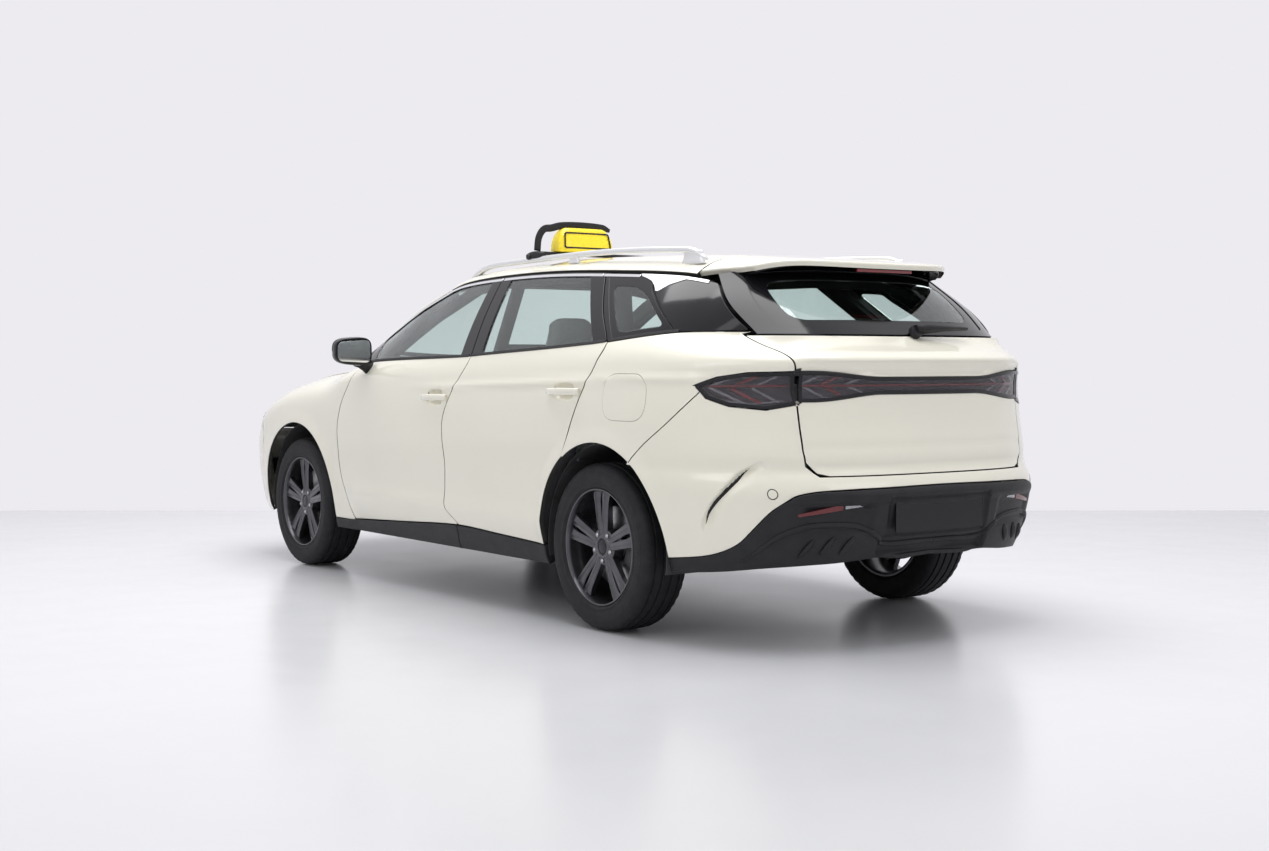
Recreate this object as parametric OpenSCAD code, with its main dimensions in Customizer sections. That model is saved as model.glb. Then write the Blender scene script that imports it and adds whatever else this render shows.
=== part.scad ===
// Estate taxi on four wheels. X runs forward, Y to the left, Z up. The ground under the middle of the car is the origin.

/* [Body] */
// Length over the bumpers
body_len = 4780; // [4000:10:5800]
// Width over the doors, without the mirrors
body_w = 1860; // [1500:10:2300]
// Height of the roof's crown
roof_h = 1560; // [1400:10:1800]
// Distance between the axles
wheelbase = 2790; // [2500:10:3000]
// From the nose to the front axle
front_overhang = 950; // [850:10:1100]
// Gap round a door, lid or lamp
panel_gap = 5; // [4:1:8]
// Thickness of a fixed outer panel
skin_t = 6; // [4:1:10]
// Thickness of a door below its window
door_t = 120; // [80:5:150]
// Thickness of a window frame
frame_t = 40; // [30:1:50]
// Thickness of the glass
glass_t = 5; // [4:1:8]
// Height of the floor's underside
floor_z = 215; // [180:5:260]

/* [Wheels] */
// Radius of the tyre
tyre_r = 341; // [310:1:370]
// Width of the tyre
tyre_w = 225; // [185:5:245]
// Radius of the rim's lip
rim_r = 238; // [210:1:260]
// Distance between the wheel centres on one axle
track = 1590; // [1450:10:1700]
// From the tyre to the edge of the wheel arch
arch_gap = 80; // [75:1:110]
// Number of double spokes
spoke_count = 5; // [4:1:7]
// Radius of the hub's centre bore
hub_bore_r = 32; // [28:1:36]

/* [Cabin] */
// Width of a front seat
seat_w = 520; // [440:10:560]
// Radius of the steering wheel
steering_r = 185; // [170:5:200]

/* [Roof] */
// Length of the taxi sign across the car
sign_w = 310; // [260:10:380]
// Height of the taxi sign's box
sign_h = 112; // [90:2:150]

/* [Hidden] */
paint = "ivory";
black = [0.1, 0.1, 0.11];
steel = [0.5, 0.5, 0.52];

// The shape below is drawn for a car of this size, and the scales carry it to the driving sizes.
drawn_len = 4780;
drawn_w = 1860;
drawn_h = 1560;
sx = body_len / drawn_len;
sy = body_w / drawn_w;
sz = roof_h / drawn_h;

nose = body_len / 2;
front_x = nose - front_overhang;
rear_x = front_x - wheelbase;
wheel_y = track / 2;
arch_r = tyre_r + arch_gap;
arch_z = tyre_r + 4;
rear_arch_x = rear_x - 25;
side_gap = panel_gap / 2;

// ---- Curves ----------------------------------------------------------------------------------------------
function lerp(a, b, t) = a + (b - a) * t;
function clamp(v, a, b) = min(max(v, a), b);
function ease(t) = let(s = clamp(t, 0, 1)) s * s * (3 - 2 * s);
function span_at(p, t, i = 0) = i >= len(p) - 2 || t < p[i + 1][0] ? i : span_at(p, t, i + 1);
function slope_at(p, i) =
    let(a = max(i - 1, 0), b = min(i + 1, len(p) - 1)) (p[b][1] - p[a][1]) / (p[b][0] - p[a][0]);
// Smooth curve through points [t, value] in rising t, flat beyond its ends
function curve(p, t) =
    let(
        i = span_at(p, t), h = p[i + 1][0] - p[i][0], s = clamp((t - p[i][0]) / h, 0, 1),
        a = slope_at(p, i) * h, b = slope_at(p, i + 1) * h
    )
    p[i][1] * (1 + 2 * s) * (1 - s) * (1 - s) + a * s * (1 - s) * (1 - s)
        + p[i + 1][1] * s * s * (3 - 2 * s) - b * s * s * (1 - s);
// Rounded end of a plan outline: 1 along the side and 0 at the very end
function round_end(u, p) = let(s = clamp(u, 0, 1)) pow(max(1 - pow(s, p), 0), 1 / p);

// ---- The body's surface ----------------------------------------------------------------------------------
// Half width against height, mid-way along
section = [[180, 838], [215, 862], [290, 893], [350, 903], [420, 911], [520, 921], [650, 928], [780, 930],
    [900, 926], [1000, 915], [1080, 898], [1150, 876], [1210, 850]];
// Rearmost and foremost X against height, on the centre line
tail_line = [[180, -2180], [250, -2270], [320, -2315], [400, -2350], [500, -2378], [590, -2390], [640, -2378],
    [680, -2352], [740, -2350], [850, -2332], [975, -2322], [1040, -2330], [1085, -2342], [1110, -2325],
    [1150, -2250], [1200, -2170]];
nose_line = [[180, 2250], [250, 2325], [350, 2370], [450, 2388], [560, 2390], [640, 2386], [690, 2368],
    [742, 2335], [782, 2292], [822, 2232]];
// Height of the bonnet's centre line, the belt and the roof's edge against X, with their half widths
bonnet_line = [[1000, 1085], [1300, 1066], [1500, 1042], [1700, 1005], [1900, 948], [2050, 894], [2150, 858],
    [2232, 822], [2292, 782], [2335, 742], [2368, 690], [2386, 640]];
belt_line = [[-2025, 1204], [-1730, 1203], [-1238, 1160], [-400, 1117], [-225, 1109], [545, 1093],
    [850, 1078], [1195, 1028]];
belt_half = [[-2100, 620], [-2025, 660], [-1732, 785], [-1445, 842], [-1055, 868], [-255, 880], [545, 858],
    [850, 815], [1195, 752]];
roof_edge = [[-1815, 1405], [-1555, 1443], [-1045, 1474], [-655, 1487], [-275, 1484], [60, 1468],
    [215, 1440], [495, 1338], [945, 1130], [1195, 1030]];
roof_half = [[-1815, 610], [-1555, 632], [-1045, 650], [-275, 660], [215, 662], [495, 695], [945, 735],
    [1195, 750]];
roof_line = [[-2085, 1482], [-1955, 1500], [-1500, 1535], [-955, 1555], [-455, 1560], [0, 1548], [300, 1520]];
tail_len = 950;
nose_len = 800;
tail_power = 2.9;
nose_power = 3.2;
crown_h = 260;
crown_power = 3.55;
roof_power = 6;
shoulder_h = 90;

function belt_z(x) = sz * curve(belt_line, x / sx);
function belt_y(x) = sy * curve(belt_half, x / sx);
function edge_z(x) = sz * curve(roof_edge, x / sx);
function edge_y(x) = sy * curve(roof_half, x / sx);
function bonnet_z(x) = sz * curve(bonnet_line, x / sx);
function tail_x(z) = sx * curve(tail_line, z / sz);
function nose_x(z) = sx * curve(nose_line, z / sz);
function nose_plan(z) = nose_x(min(z, 700 * sz));
function side_w(z) = sy * curve(section, z / sz);
// Half width of the lower body before its shoulder: the side, drawn in to both ends
function hull_y(x, z) =
    side_w(z) * round_end((tail_x(z) + sx * tail_len - x) / (sx * tail_len), tail_power)
        * round_end((x - nose_plan(z) + sx * nose_len) / (sx * nose_len), nose_power);
function crown(x, z) = round_end((z - bonnet_z(x) + sz * crown_h) / (sz * crown_h), crown_power);
function door_side_y(x, z) =
    let(s = clamp((z - belt_z(x)) / (sz * shoulder_h) + 1, 0, 1))
    hull_y(x, z) - (hull_y(x, belt_z(x)) - belt_y(x)) * s * s;
// The lower body's side, up to the belt on the doors and up over the wing to the bonnet in front of them
function side_y(x, z) =
    let(k = ease((x / sx - 900) / 300))
    lerp(door_side_y(x, z), hull_y(x, z) * crown(x, z), k);
// The side windows' surface
function window_y(x, z) =
    let(t = clamp((z - belt_z(x)) / max(edge_z(x) - belt_z(x), 1), -0.2, 1.2))
    lerp(belt_y(x), edge_y(x), t) + sy * 14 * 4 * t * (1 - t);
// The tail and the nose, as X against Y and height
function tail_face(y, z) =
    tail_x(z) + sx * tail_len * (1 - round_end(abs(y) / side_w(z), tail_power));
function nose_face(y, z) =
    nose_x(z) - sx * nose_len * (1 - round_end(abs(y) / side_w(z), nose_power));
function bonnet_top(x, y) =
    bonnet_z(x) - sz * crown_h * (1 - round_end(abs(y) / hull_y(x, bonnet_z(x) - 0.6 * sz * crown_h), crown_power));
function roof_top(x, y) =
    let(c = sz * curve(roof_line, x / sx))
    c - (c - edge_z(max(x, -1815 * sx))) * pow(min(abs(y) / edge_y(x), 1.02), roof_power);

// The same ends as points: u runs from one side (-1) through the middle (0) to the other side (1).
function side_pow(a, p) = sign(a) * pow(abs(a), 2 / p);
function tail_point(u, z, d) = let(c = sx * tail_len - d)
    [tail_x(z) + d + c * (1 - side_pow(cos(90 * u), tail_power)), (side_w(z) - d) * side_pow(sin(90 * u), tail_power), z];
function nose_point(u, z, d) = let(c = sx * nose_len - d)
    [nose_x(z) - d - c * (1 - side_pow(cos(90 * u), nose_power)), (side_w(z) - d) * side_pow(sin(90 * u), nose_power), z];

// ---- Slabs between two grids of points ---------------------------------------------------------------------
module grid_slab(outer, inner) {
    nu = len(outer) - 1;
    nv = len(outer[0]) - 1;
    count = (nu + 1) * (nv + 1);
    points = concat([for (r = outer) for (p = r) p], [for (r = inner) for (p = r) p]);
    function at(i, j) = i * (nv + 1) + j;
    top = [for (i = [0:nu - 1]) for (j = [0:nv - 1])
        each [[at(i, j), at(i + 1, j), at(i + 1, j + 1)], [at(i, j), at(i + 1, j + 1), at(i, j + 1)]]];
    under = [for (f = top) [f[2] + count, f[1] + count, f[0] + count]];
    ring = concat([for (i = [0:nu - 1]) at(i, 0)], [for (j = [0:nv - 1]) at(nu, j)],
        [for (i = [nu:-1:1]) at(i, nv)], [for (j = [nv:-1:1]) at(0, j)]);
    wall = [for (k = [0:len(ring) - 1])
        let(a = ring[k], b = ring[(k + 1) % len(ring)])
        each [[b, a, a + count], [b, a + count, b + count]]];
    faces = concat(top, under, wall);
    m = floor(nu / 2);
    n = floor(nv / 2);
    facing = cross(outer[m + 1][n] - outer[m][n], outer[m][n + 1] - outer[m][n]) * (outer[m][n] - inner[m][n]);
    polyhedron(points, facing > 0 ? [for (f = faces) [f[2], f[1], f[0]]] : faces, convexity = 8);
}
// Steps from a to b; detail keeps the panels' facets few
detail = 0.62;
function steps(a, b, n) = let(m = max(1, round(n * detail))) [for (i = [0:m]) lerp(a, b, i / m)];
// A slab under the side's surface f(x, z), from height lo(x) to hi(x), with its levels closer towards the top
module side_slab(x0, x1, nx, lo, hi, nz, t, f, outset = 0) {
    function grid(d) = [for (x = steps(x0, x1, nx)) [for (k = steps(0, 1, nz))
        let(z = lerp(lo(x), hi(x), 1 - pow(1 - k, 1.6))) [x, f(x, z) + d, z]]];
    grid_slab(grid(outset), grid(-t));
}
// A slab behind the tail's or the nose's surface f(y, z)
module face_slab(y0, y1, ny, z0, z1, nz, t, f, outset = 0) {
    function grid(d) = [for (y = steps(y0, y1, ny)) [for (z = steps(z0, z1, nz)) [f(y, z) + d, y, z]]];
    grid_slab(grid(-outset), grid(t));
}
// A slab round the tail or the nose between heights lo(u) and hi(u)
module wrap_slab(u0, u1, nu, lo, hi, nz, d0, d1, f) {
    function grid(d) = [for (u = steps(u0, u1, nu)) [for (k = steps(0, 1, nz)) f(u, lerp(lo(u), hi(u), k), d)]];
    grid_slab(grid(d0), grid(d1));
}
// The panels' cuts are worked out on meshes, so each panel is one closed mesh.
module meshed() { resize([0, 0, 0]) children(); }
module both_sides() {
    children();
    mirror([0, 1, 0]) children();
}
// A prism across the car with an outline in X and Z
module across(points, y0, y1) {
    translate([0, y1, 0]) rotate([90, 0, 0]) linear_extrude(y1 - y0) polygon(points);
}
function drawn(p) = [for (q = p) [q[0] * sx, q[1] * sz]];
function arc(cx, cz, r, a0, a1, n) = [for (a = steps(a0, a1, n)) [cx + r * cos(a), cz + r * sin(a)]];
function on_curve(f, x0, x1, n) = [for (x = steps(x0, x1, n)) [x, f(x)]];

// ---- Outlines of the side panels, as X and Z ---------------------------------------------------------------
// Each shut line is a smooth curve of X against height.
front_line = [[180, 800], [290, 825], [500, 915], [650, 938], [765, 941], [880, 900], [990, 824], [1060, 800],
    [1110, 815]];
middle_line = [[180, -235], [345, -232], [415, -150], [520, -150], [620, -158], [740, -138], [830, -141],
    [930, -195], [1055, -296], [1115, -318], [1300, -285], [1490, -250]];
rear_line = [[700, -1133], [738, -1151], [852, -1205], [960, -1262], [1050, -1318], [1090, -1336],
    [1165, -1350], [1300, -1215], [1475, -1057]];
bumper_line = [[640, -1560], [740, -1650], [850, -1800], [960, -1925], [1000, -1960]];
front_at = function(z) sx * curve(front_line, z / sz);
middle_at = function(z) sx * curve(middle_line, z / sz);
rear_at = function(z) sx * curve(rear_line, z / sz);
bumper_at = function(z) sx * curve(bumper_line, z / sz);
function sill_z(x) = sz * curve([[-1200, 305], [-1040, 311], [-600, 330], [-232, 343], [300, 318], [900, 287]], x / sx);
function line_up(f, z0, z1, n, d) = [for (z = steps(z0, z1, n)) [f(z) + d, z]];
function line_down(f, z0, z1, n, d) = [for (z = steps(z1, z0, n)) [f(z) + d, z]];
function glass_top(x) = edge_z(x) - 24 * sz;

// Whole doors from the sill to the roof's edge
module front_door_outline() {
    top = edge_z(middle_at(1480 * sz)) - panel_gap;
    polygon(concat(
        line_up(front_at, 305 * sz, 1090 * sz, 12, -side_gap),
        [for (x = steps(front_at(1090 * sz) - 2, middle_at(1480 * sz) + side_gap, 12)) [x, edge_z(x) - panel_gap]],
        line_down(middle_at, 350 * sz, 1470 * sz, 14, side_gap),
        [for (x = steps(middle_at(350 * sz) + 10, front_at(305 * sz) - 12, 6)) [x, sill_z(x) + side_gap]]));
}
module rear_door_outline(d = 0) {
    polygon(concat(
        line_up(middle_at, 352 * sz, 1470 * sz, 14, -side_gap),
        [for (x = steps(middle_at(1480 * sz) - side_gap, rear_at(1465 * sz) + side_gap, 8)) [x, edge_z(x) - panel_gap]],
        line_down(rear_at, 790 * sz, 1455 * sz, 10, side_gap),
        arc(rear_arch_x, arch_z, arch_r + 6, 56, 8, 8),
        [for (x = steps(rear_arch_x + arch_r + 8, middle_at(352 * sz) - 12, 5)) [x, sill_z(x) + side_gap]]));
}
module window_outline(front, rear, n) {
    polygon(concat(
        [for (x = steps(rear[0], front[0], n)) [x, belt_z(x) + 12]],
        [for (x = steps(front[1], rear[1], n)) [x, glass_top(x)]]));
}
module front_window() {
    polygon(concat(
        [for (x = steps(-222 * sx, 690 * sx, 8)) [x, belt_z(x) + 12]],
        [for (x = steps(735 * sx, -180 * sx, 10)) [x, glass_top(x)]]));
}
module rear_window() {
    polygon(concat(
        [for (x = steps(-1250 * sx, -410 * sx, 8)) [x, belt_z(x) + 12]],
        [for (x = steps(-340 * sx, -975 * sx, 8)) [x, glass_top(x)]]));
}
module quarter_window() {
    polygon(concat(
        [for (x = steps(-1712 * sx, -1368 * sx, 4)) [x, belt_z(x) + 10]],
        [for (x = steps(-1092 * sx, -1390 * sx, 5)) [x, glass_top(x) + 6]],
        [[-1452 * sx, 1376 * sz]]));
}
module flat_xz(y0, y1) { translate([0, y1, 0]) rotate([90, 0, 0]) linear_extrude(y1 - y0) children(); }

// A door is a skin over its whole outline, with a narrower box and frame behind it.
module door_shape(x0, x1) {
    low = 280 * sz;
    difference() {
        union() {
            intersection() {
                side_slab(x0, x1, 10, function(x) low, function(x) belt_z(x) + 2, 8, 24, function(x, z) door_side_y(x, z));
                flat_xz(0, 1200) children(0);
            }
            intersection() {
                side_slab(x0, x1, 5, function(x) low, function(x) belt_z(x) - 4, 3, door_t,
                    function(x, z) door_side_y(x, z), -12);
                flat_xz(0, 1200) offset(delta = -28) children(0);
            }
            intersection() {
                side_slab(x0, x1, 12, function(x) belt_z(x) - 18, function(x) edge_z(x), 3, 12,
                    function(x, z) window_y(x, z));
                flat_xz(0, 1200) children(0);
            }
            intersection() {
                side_slab(x0, x1, 8, function(x) belt_z(x) - 30, function(x) edge_z(x) - 8, 3, frame_t,
                    function(x, z) window_y(x, z), -6);
                flat_xz(0, 1200) offset(delta = -16) children(0);
            }
        }
        flat_xz(0, 1200) children(1);
    }
}
module door_front() {
    meshed() door_shape(-330 * sx, 950 * sx) {
        front_door_outline();
        front_window();
    }
}
module door_rear() {
    meshed() door_shape(-1365 * sx, -120 * sx) {
        rear_door_outline();
        rear_window();
    }
}
// Door glass sits in the frame, 0.3 mm clear all round.
module pane(x0, x1, depth = 8) {
    meshed() intersection() {
        side_slab(x0, x1, 10, function(x) belt_z(x) - 5, function(x) edge_z(x), 4, depth + glass_t,
            function(x, z) window_y(x, z), -depth);
        flat_xz(0, 1200) offset(delta = -0.3) children();
    }
}

// ---- Doors -------------------------------------------------------------------------------------------------
module door_front_left() { color(paint) door_front(); }
module door_front_right() { mirror([0, 1, 0]) door_front_left(); }
module door_rear_left() { color(paint) door_rear(); }
module door_rear_right() { mirror([0, 1, 0]) door_rear_left(); }
module door_glass_front_left() {
    color([0.6, 0.7, 0.68, 0.5]) pane(-240 * sx, 760 * sx) front_window();
}
module door_glass_front_right() { mirror([0, 1, 0]) door_glass_front_left(); }
module door_glass_rear_left() {
    color([0.6, 0.7, 0.68, 0.5]) pane(-1260 * sx, -330 * sx) rear_window();
}
module door_glass_rear_right() { mirror([0, 1, 0]) door_glass_rear_left(); }

// Mirror: a rounded housing on an arm, seated on the door's shoulder
mirror_x = 645 * sx;
mirror_w = 200;
mirror_h = 140;
module mirror_left() {
    color(black) meshed() {
        translate([mirror_x, sy * 1000, sz * 1140]) hull() {
            for (y = [-mirror_w / 2 + 35, mirror_w / 2 - 35]) for (z = [-mirror_h / 2 + 35, mirror_h / 2 - 40])
                translate([-34, y, z]) rotate([0, 90, 0]) cylinder(r = 35, h = 8, $fn = 20);
            for (y = [-mirror_w / 2 + 50, mirror_w / 2 - 60]) for (z = [-mirror_h / 2 + 50, mirror_h / 2 - 55])
                translate([40, y, z]) sphere(r = 32, $fn = 12);
        }
        difference() {
            hull() {
                translate([mirror_x + 5, sy * 945, sz * 1095]) scale([1.5, 1, 0.7]) sphere(r = 24, $fn = 12);
                side_slab(mirror_x - 5, mirror_x + 65, 2, function(x) 1034 * sz, function(x) 1072 * sz, 1, 2,
                    function(x, z) door_side_y(x, z), 12);
            }
            for (y = [0.4, -8, -16]) translate([0, y, 0]) door_front();
        }
    }
}
module mirror_right() { mirror([0, 1, 0]) mirror_left(); }

// ---- Fixed side panels -------------------------------------------------------------------------------------
// Wheel arch cut through a side panel, flaring a little at the lower rear
module arch_outline(x, r) {
    union() {
        translate([x, arch_z]) circle(r = r, $fn = 64);
        translate([x - r, -200]) square([2 * r, 200 + arch_z]);
    }
}
function fender_top(x) = let(k = ease((x / sx - 940) / 80))
    lerp(belt_z(x) + 12 * sz, bonnet_top(x, bonnet_half(x) + side_gap), k);
module front_fender() {
    intersection() {
        side_slab(790 * sx, 2010 * sx, 17, function(x) 270 * sz, function(x) fender_top(x), 10, skin_t,
            function(x, z) side_y(x, z));
        no_bonnet() flat_xz(0, 1200) difference() {
            polygon(concat(
                line_up(front_at, 255 * sz, 1108 * sz, 12, side_gap),
                [[1900 * sx, 1100 * sz], [2046 * sx, 925 * sz], [1980 * sx, 875 * sz], [1930 * sx, 790 * sz],
                [1893 * sx, 690 * sz], [1890 * sx, 270 * sz]]));
            arch_outline(front_x, arch_r);
            translate([front_x - 800, 0]) square([800, 290 * sz]);
        }
    }
}
module front_fenders() { color(paint) both_sides() meshed() front_fender(); }

// Rear quarter with the fuel flap's opening, ahead of the bumper and the lamp
flap_x = -1555 * sx;
flap_z = 950 * sz;
flap_w = 270;
flap_h = 184;
module flap_shape(d) {
    translate([flap_x, flap_z]) offset(r = 62 + d, $fn = 40) square([flap_w - 124, flap_h - 124], center = true);
}
function lamp_side(d) = [[-1915 * sx + d, 1000 * sz], [-1965 * sx, 955 * sz - d], [-2050 * sx, 925 * sz - d],
    [-2155 * sx, 912 * sz - d], [-2260 * sx, 950 * sz - d], [-2260 * sx, 1055 * sz + d], [-2100 * sx, 1047 * sz + d],
    [-2000 * sx, 1030 * sz + d]];
module quarter_outline() {
    difference() {
        polygon(concat(
            line_up(rear_at, 700 * sz, 1165 * sz, 10, -side_gap - 0.6),
            [for (x = steps(-1360 * sx, -2025 * sx, 8)) [x, belt_z(x) - 6]],
            [[-2300 * sx, 1196 * sz], [-2300 * sx, 1000 * sz], [-1930 * sx, 996 * sz]],
            line_down(bumper_at, 640 * sz, 985 * sz, 8, side_gap + 0.6)));
        arch_outline(rear_arch_x, arch_r);
        polygon(lamp_side(panel_gap));
        offset(delta = side_gap + 1.5) rear_door_outline();
    }
}
module quarter(with_flap) {
    intersection() {
        union() {
            side_slab(-1900 * sx, -1120 * sx, 12, function(x) 640 * sz, function(x) belt_z(x) - 4, 8, skin_t,
                function(x, z) door_side_y(x, z));
            side_slab(-2085 * sx, -1899 * sx, 8, function(x) 900 * sz, function(x) belt_z(x) - 4, 6, skin_t,
                function(x, z) door_side_y(x, z));
            wrap_slab(0.4, 0.62, 5, function(u) 1030 * sz, function(u) 1190 * sz, 3, 0, skin_t,
                function(u, z, d) tail_point(u, z, d));
        }
        flat_xz(0, 1200) difference() {
            quarter_outline();
            if (with_flap) flap_shape(side_gap);
        }
        rotate([90, 0, 90]) translate([0, 0, -2600]) linear_extrude(2600) polygon(concat([[1200, 600], [1200, 1300]],
            [[lid_half(1200 * sz) + side_gap, 1300]], [for (z = steps(1200 * sz, 1000 * sz, 6)) [lid_half(z) + side_gap, z]],
            [[lid_half(1000 * sz) + side_gap, 600]]));
    }
}
module quarter_panels() {
    color(paint) {
        meshed() quarter(true);
        mirror([0, 1, 0]) meshed() quarter(false);
    }
}
module fuel_flap() {
    color(paint) meshed() intersection() {
        side_slab(-1720 * sx, -1390 * sx, 8, function(x) 840 * sz, function(x) 1060 * sz, 6, skin_t,
            function(x, z) door_side_y(x, z));
        flat_xz(0, 1200) flap_shape(-side_gap);
    }
}

// ---- Roof, windscreen, pillars -----------------------------------------------------------------------------
roof_rear = -1640 * sx;
roof_t = 30;
module roof_panel() {
    function front(t) = (240 + 110 * (1 - t * t)) * sx;
    function point(s, t, d) = let(x = lerp(roof_rear + side_gap, front(t), s), y = t * edge_y(x))
        d == 0 ? [x, y, roof_top(x, y)] : [x, y * 0.955, roof_top(x, y * 0.955) - lerp(roof_t, 10, pow(abs(t), 6))];
    function grid(d) = [for (s = steps(0, 1, 16)) [for (t = steps(-0.985, 0.985, 16)) point(s, t, d)]];
    color(paint) grid_slab(grid(0), grid(1));
}
// Slab under the roof, d0 to d1 below its top
module roof_patch(x0, x1, nx, y0, y1, ny, d0, d1) {
    function grid(d) = [for (x = steps(x0, x1, nx)) [for (y = steps(y0, y1, ny)) [x, y, roof_top(x, y) - d]]];
    grid_slab(grid(d0), grid(d1));
}
// Windscreen: each level runs across from one pillar to the other through its own middle
function screen_point(s, t, d = 0) =
    let(
        x = lerp(925, 262, s) * sx, e = [x, edge_y(x) - 16, edge_z(x) + 2],
        m = [lerp(1120, 372, s) * sx, 0, (lerp(1098, 1515, s) + 70 * s * (1 - s)) * sz], k = 1 - t * t
    )
    [lerp(e[0], m[0], k) - d * 0.55, e[1] * t, lerp(e[2], m[2], k) - d * 0.85];
module screen_patch(s0, s1, ns, t0, t1, nt, d0, d1) {
    function grid(d) = [for (s = steps(s0, s1, ns)) [for (t = steps(t0, t1, nt)) screen_point(s, t, d)]];
    grid_slab(grid(d0), grid(d1));
}
module bonnet_patch(x0, x1, nx, y0, y1, ny, d0, d1) {
    function grid(d) = [for (x = steps(x0, x1, nx)) [for (y = steps(y0, y1, ny)) [x, y, bonnet_top(x, y) - d]]];
    grid_slab(grid(d0), grid(d1));
}
module windscreen() {
    function grid(d) = [for (s = steps(0, 1, 7)) [for (t = steps(-1, 1, 12)) screen_point(s, t, d)]];
    grid_slab(grid(0), grid(glass_t));
}
module fixed_glass() {
    color([0.6, 0.7, 0.68, 0.5]) {
        windscreen();
        both_sides() pane(-1760 * sx, -1080 * sx, 3) quarter_window();
    }
}
// Gloss panels behind the quarter windows
module pillar_outline() {
    polygon([[-1725 * sx, 1208 * sz], [-1463 * sx, 1382 * sz], [-1402 * sx, 1436 * sz], [-1560 * sx, 1430 * sz],
        [-1783 * sx, 1398 * sz], [-2018 * sx, 1210 * sz]]);
}
module pillar_panel() {
    intersection() {
        side_slab(-2040 * sx, -1390 * sx, 10, function(x) belt_z(x), function(x) edge_z(x), 5, 8,
            function(x, z) window_y(x, z));
        flat_xz(0, 1200) pillar_outline();
    }
}
module pillar_trim() { color(black) both_sides() meshed() pillar_panel(); }
// Inner frame: roof side rails, pillars, sill beams, bulkhead, headers, crash beams and the pads that the panels sit on
module rail(points, r) {
    for (i = [0:len(points) - 2]) hull() for (k = [i, i + 1]) translate(points[k]) cube(1.6 * r, center = true);
}
module body_frame() {
    color(paint) meshed() difference() {
        inner_frame();
        both_sides() {
            for (y = [-0.4, 5, 10, 20]) translate([0, y, 0]) {
                front_fender();
                quarter(false);
                sill();
                pillar_panel();
            }
            for (y = [-0.4, 4, 8]) translate([0, y, 0]) pane(-1760 * sx, -1080 * sx, 3) quarter_window();
            for (d = [0.4, -6]) translate([d, -d / 2, 0]) tail_lamp();
            for (d = [0.4, -6]) translate([-d, -d / 2, 0]) headlamp();
        }
        for (d = [0.4, -5, -10]) translate([d, 0, 0]) {
            rear_bumper_skin();
            rear_diffuser_skin();
        }
        for (d = [0.4, -5, -10]) translate([-d, 0, 0]) front_bumper_skin();
        for (d = [-0.4, 4.6, 9.6]) translate([0, 0, d]) {
            windscreen();
            roof_panel();
        }
        for (d = [-0.4, 11]) translate([0, 0, d]) bonnet();
        tailgate_space();
        spoiler(6);
        // way for the tailgate's upper corners as it opens
        both_sides() translate([-1750 * sx, 550 * sy, 1378 * sz]) cube([100 * sx, 63 * sy, 60 * sz]);
    }
}
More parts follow.
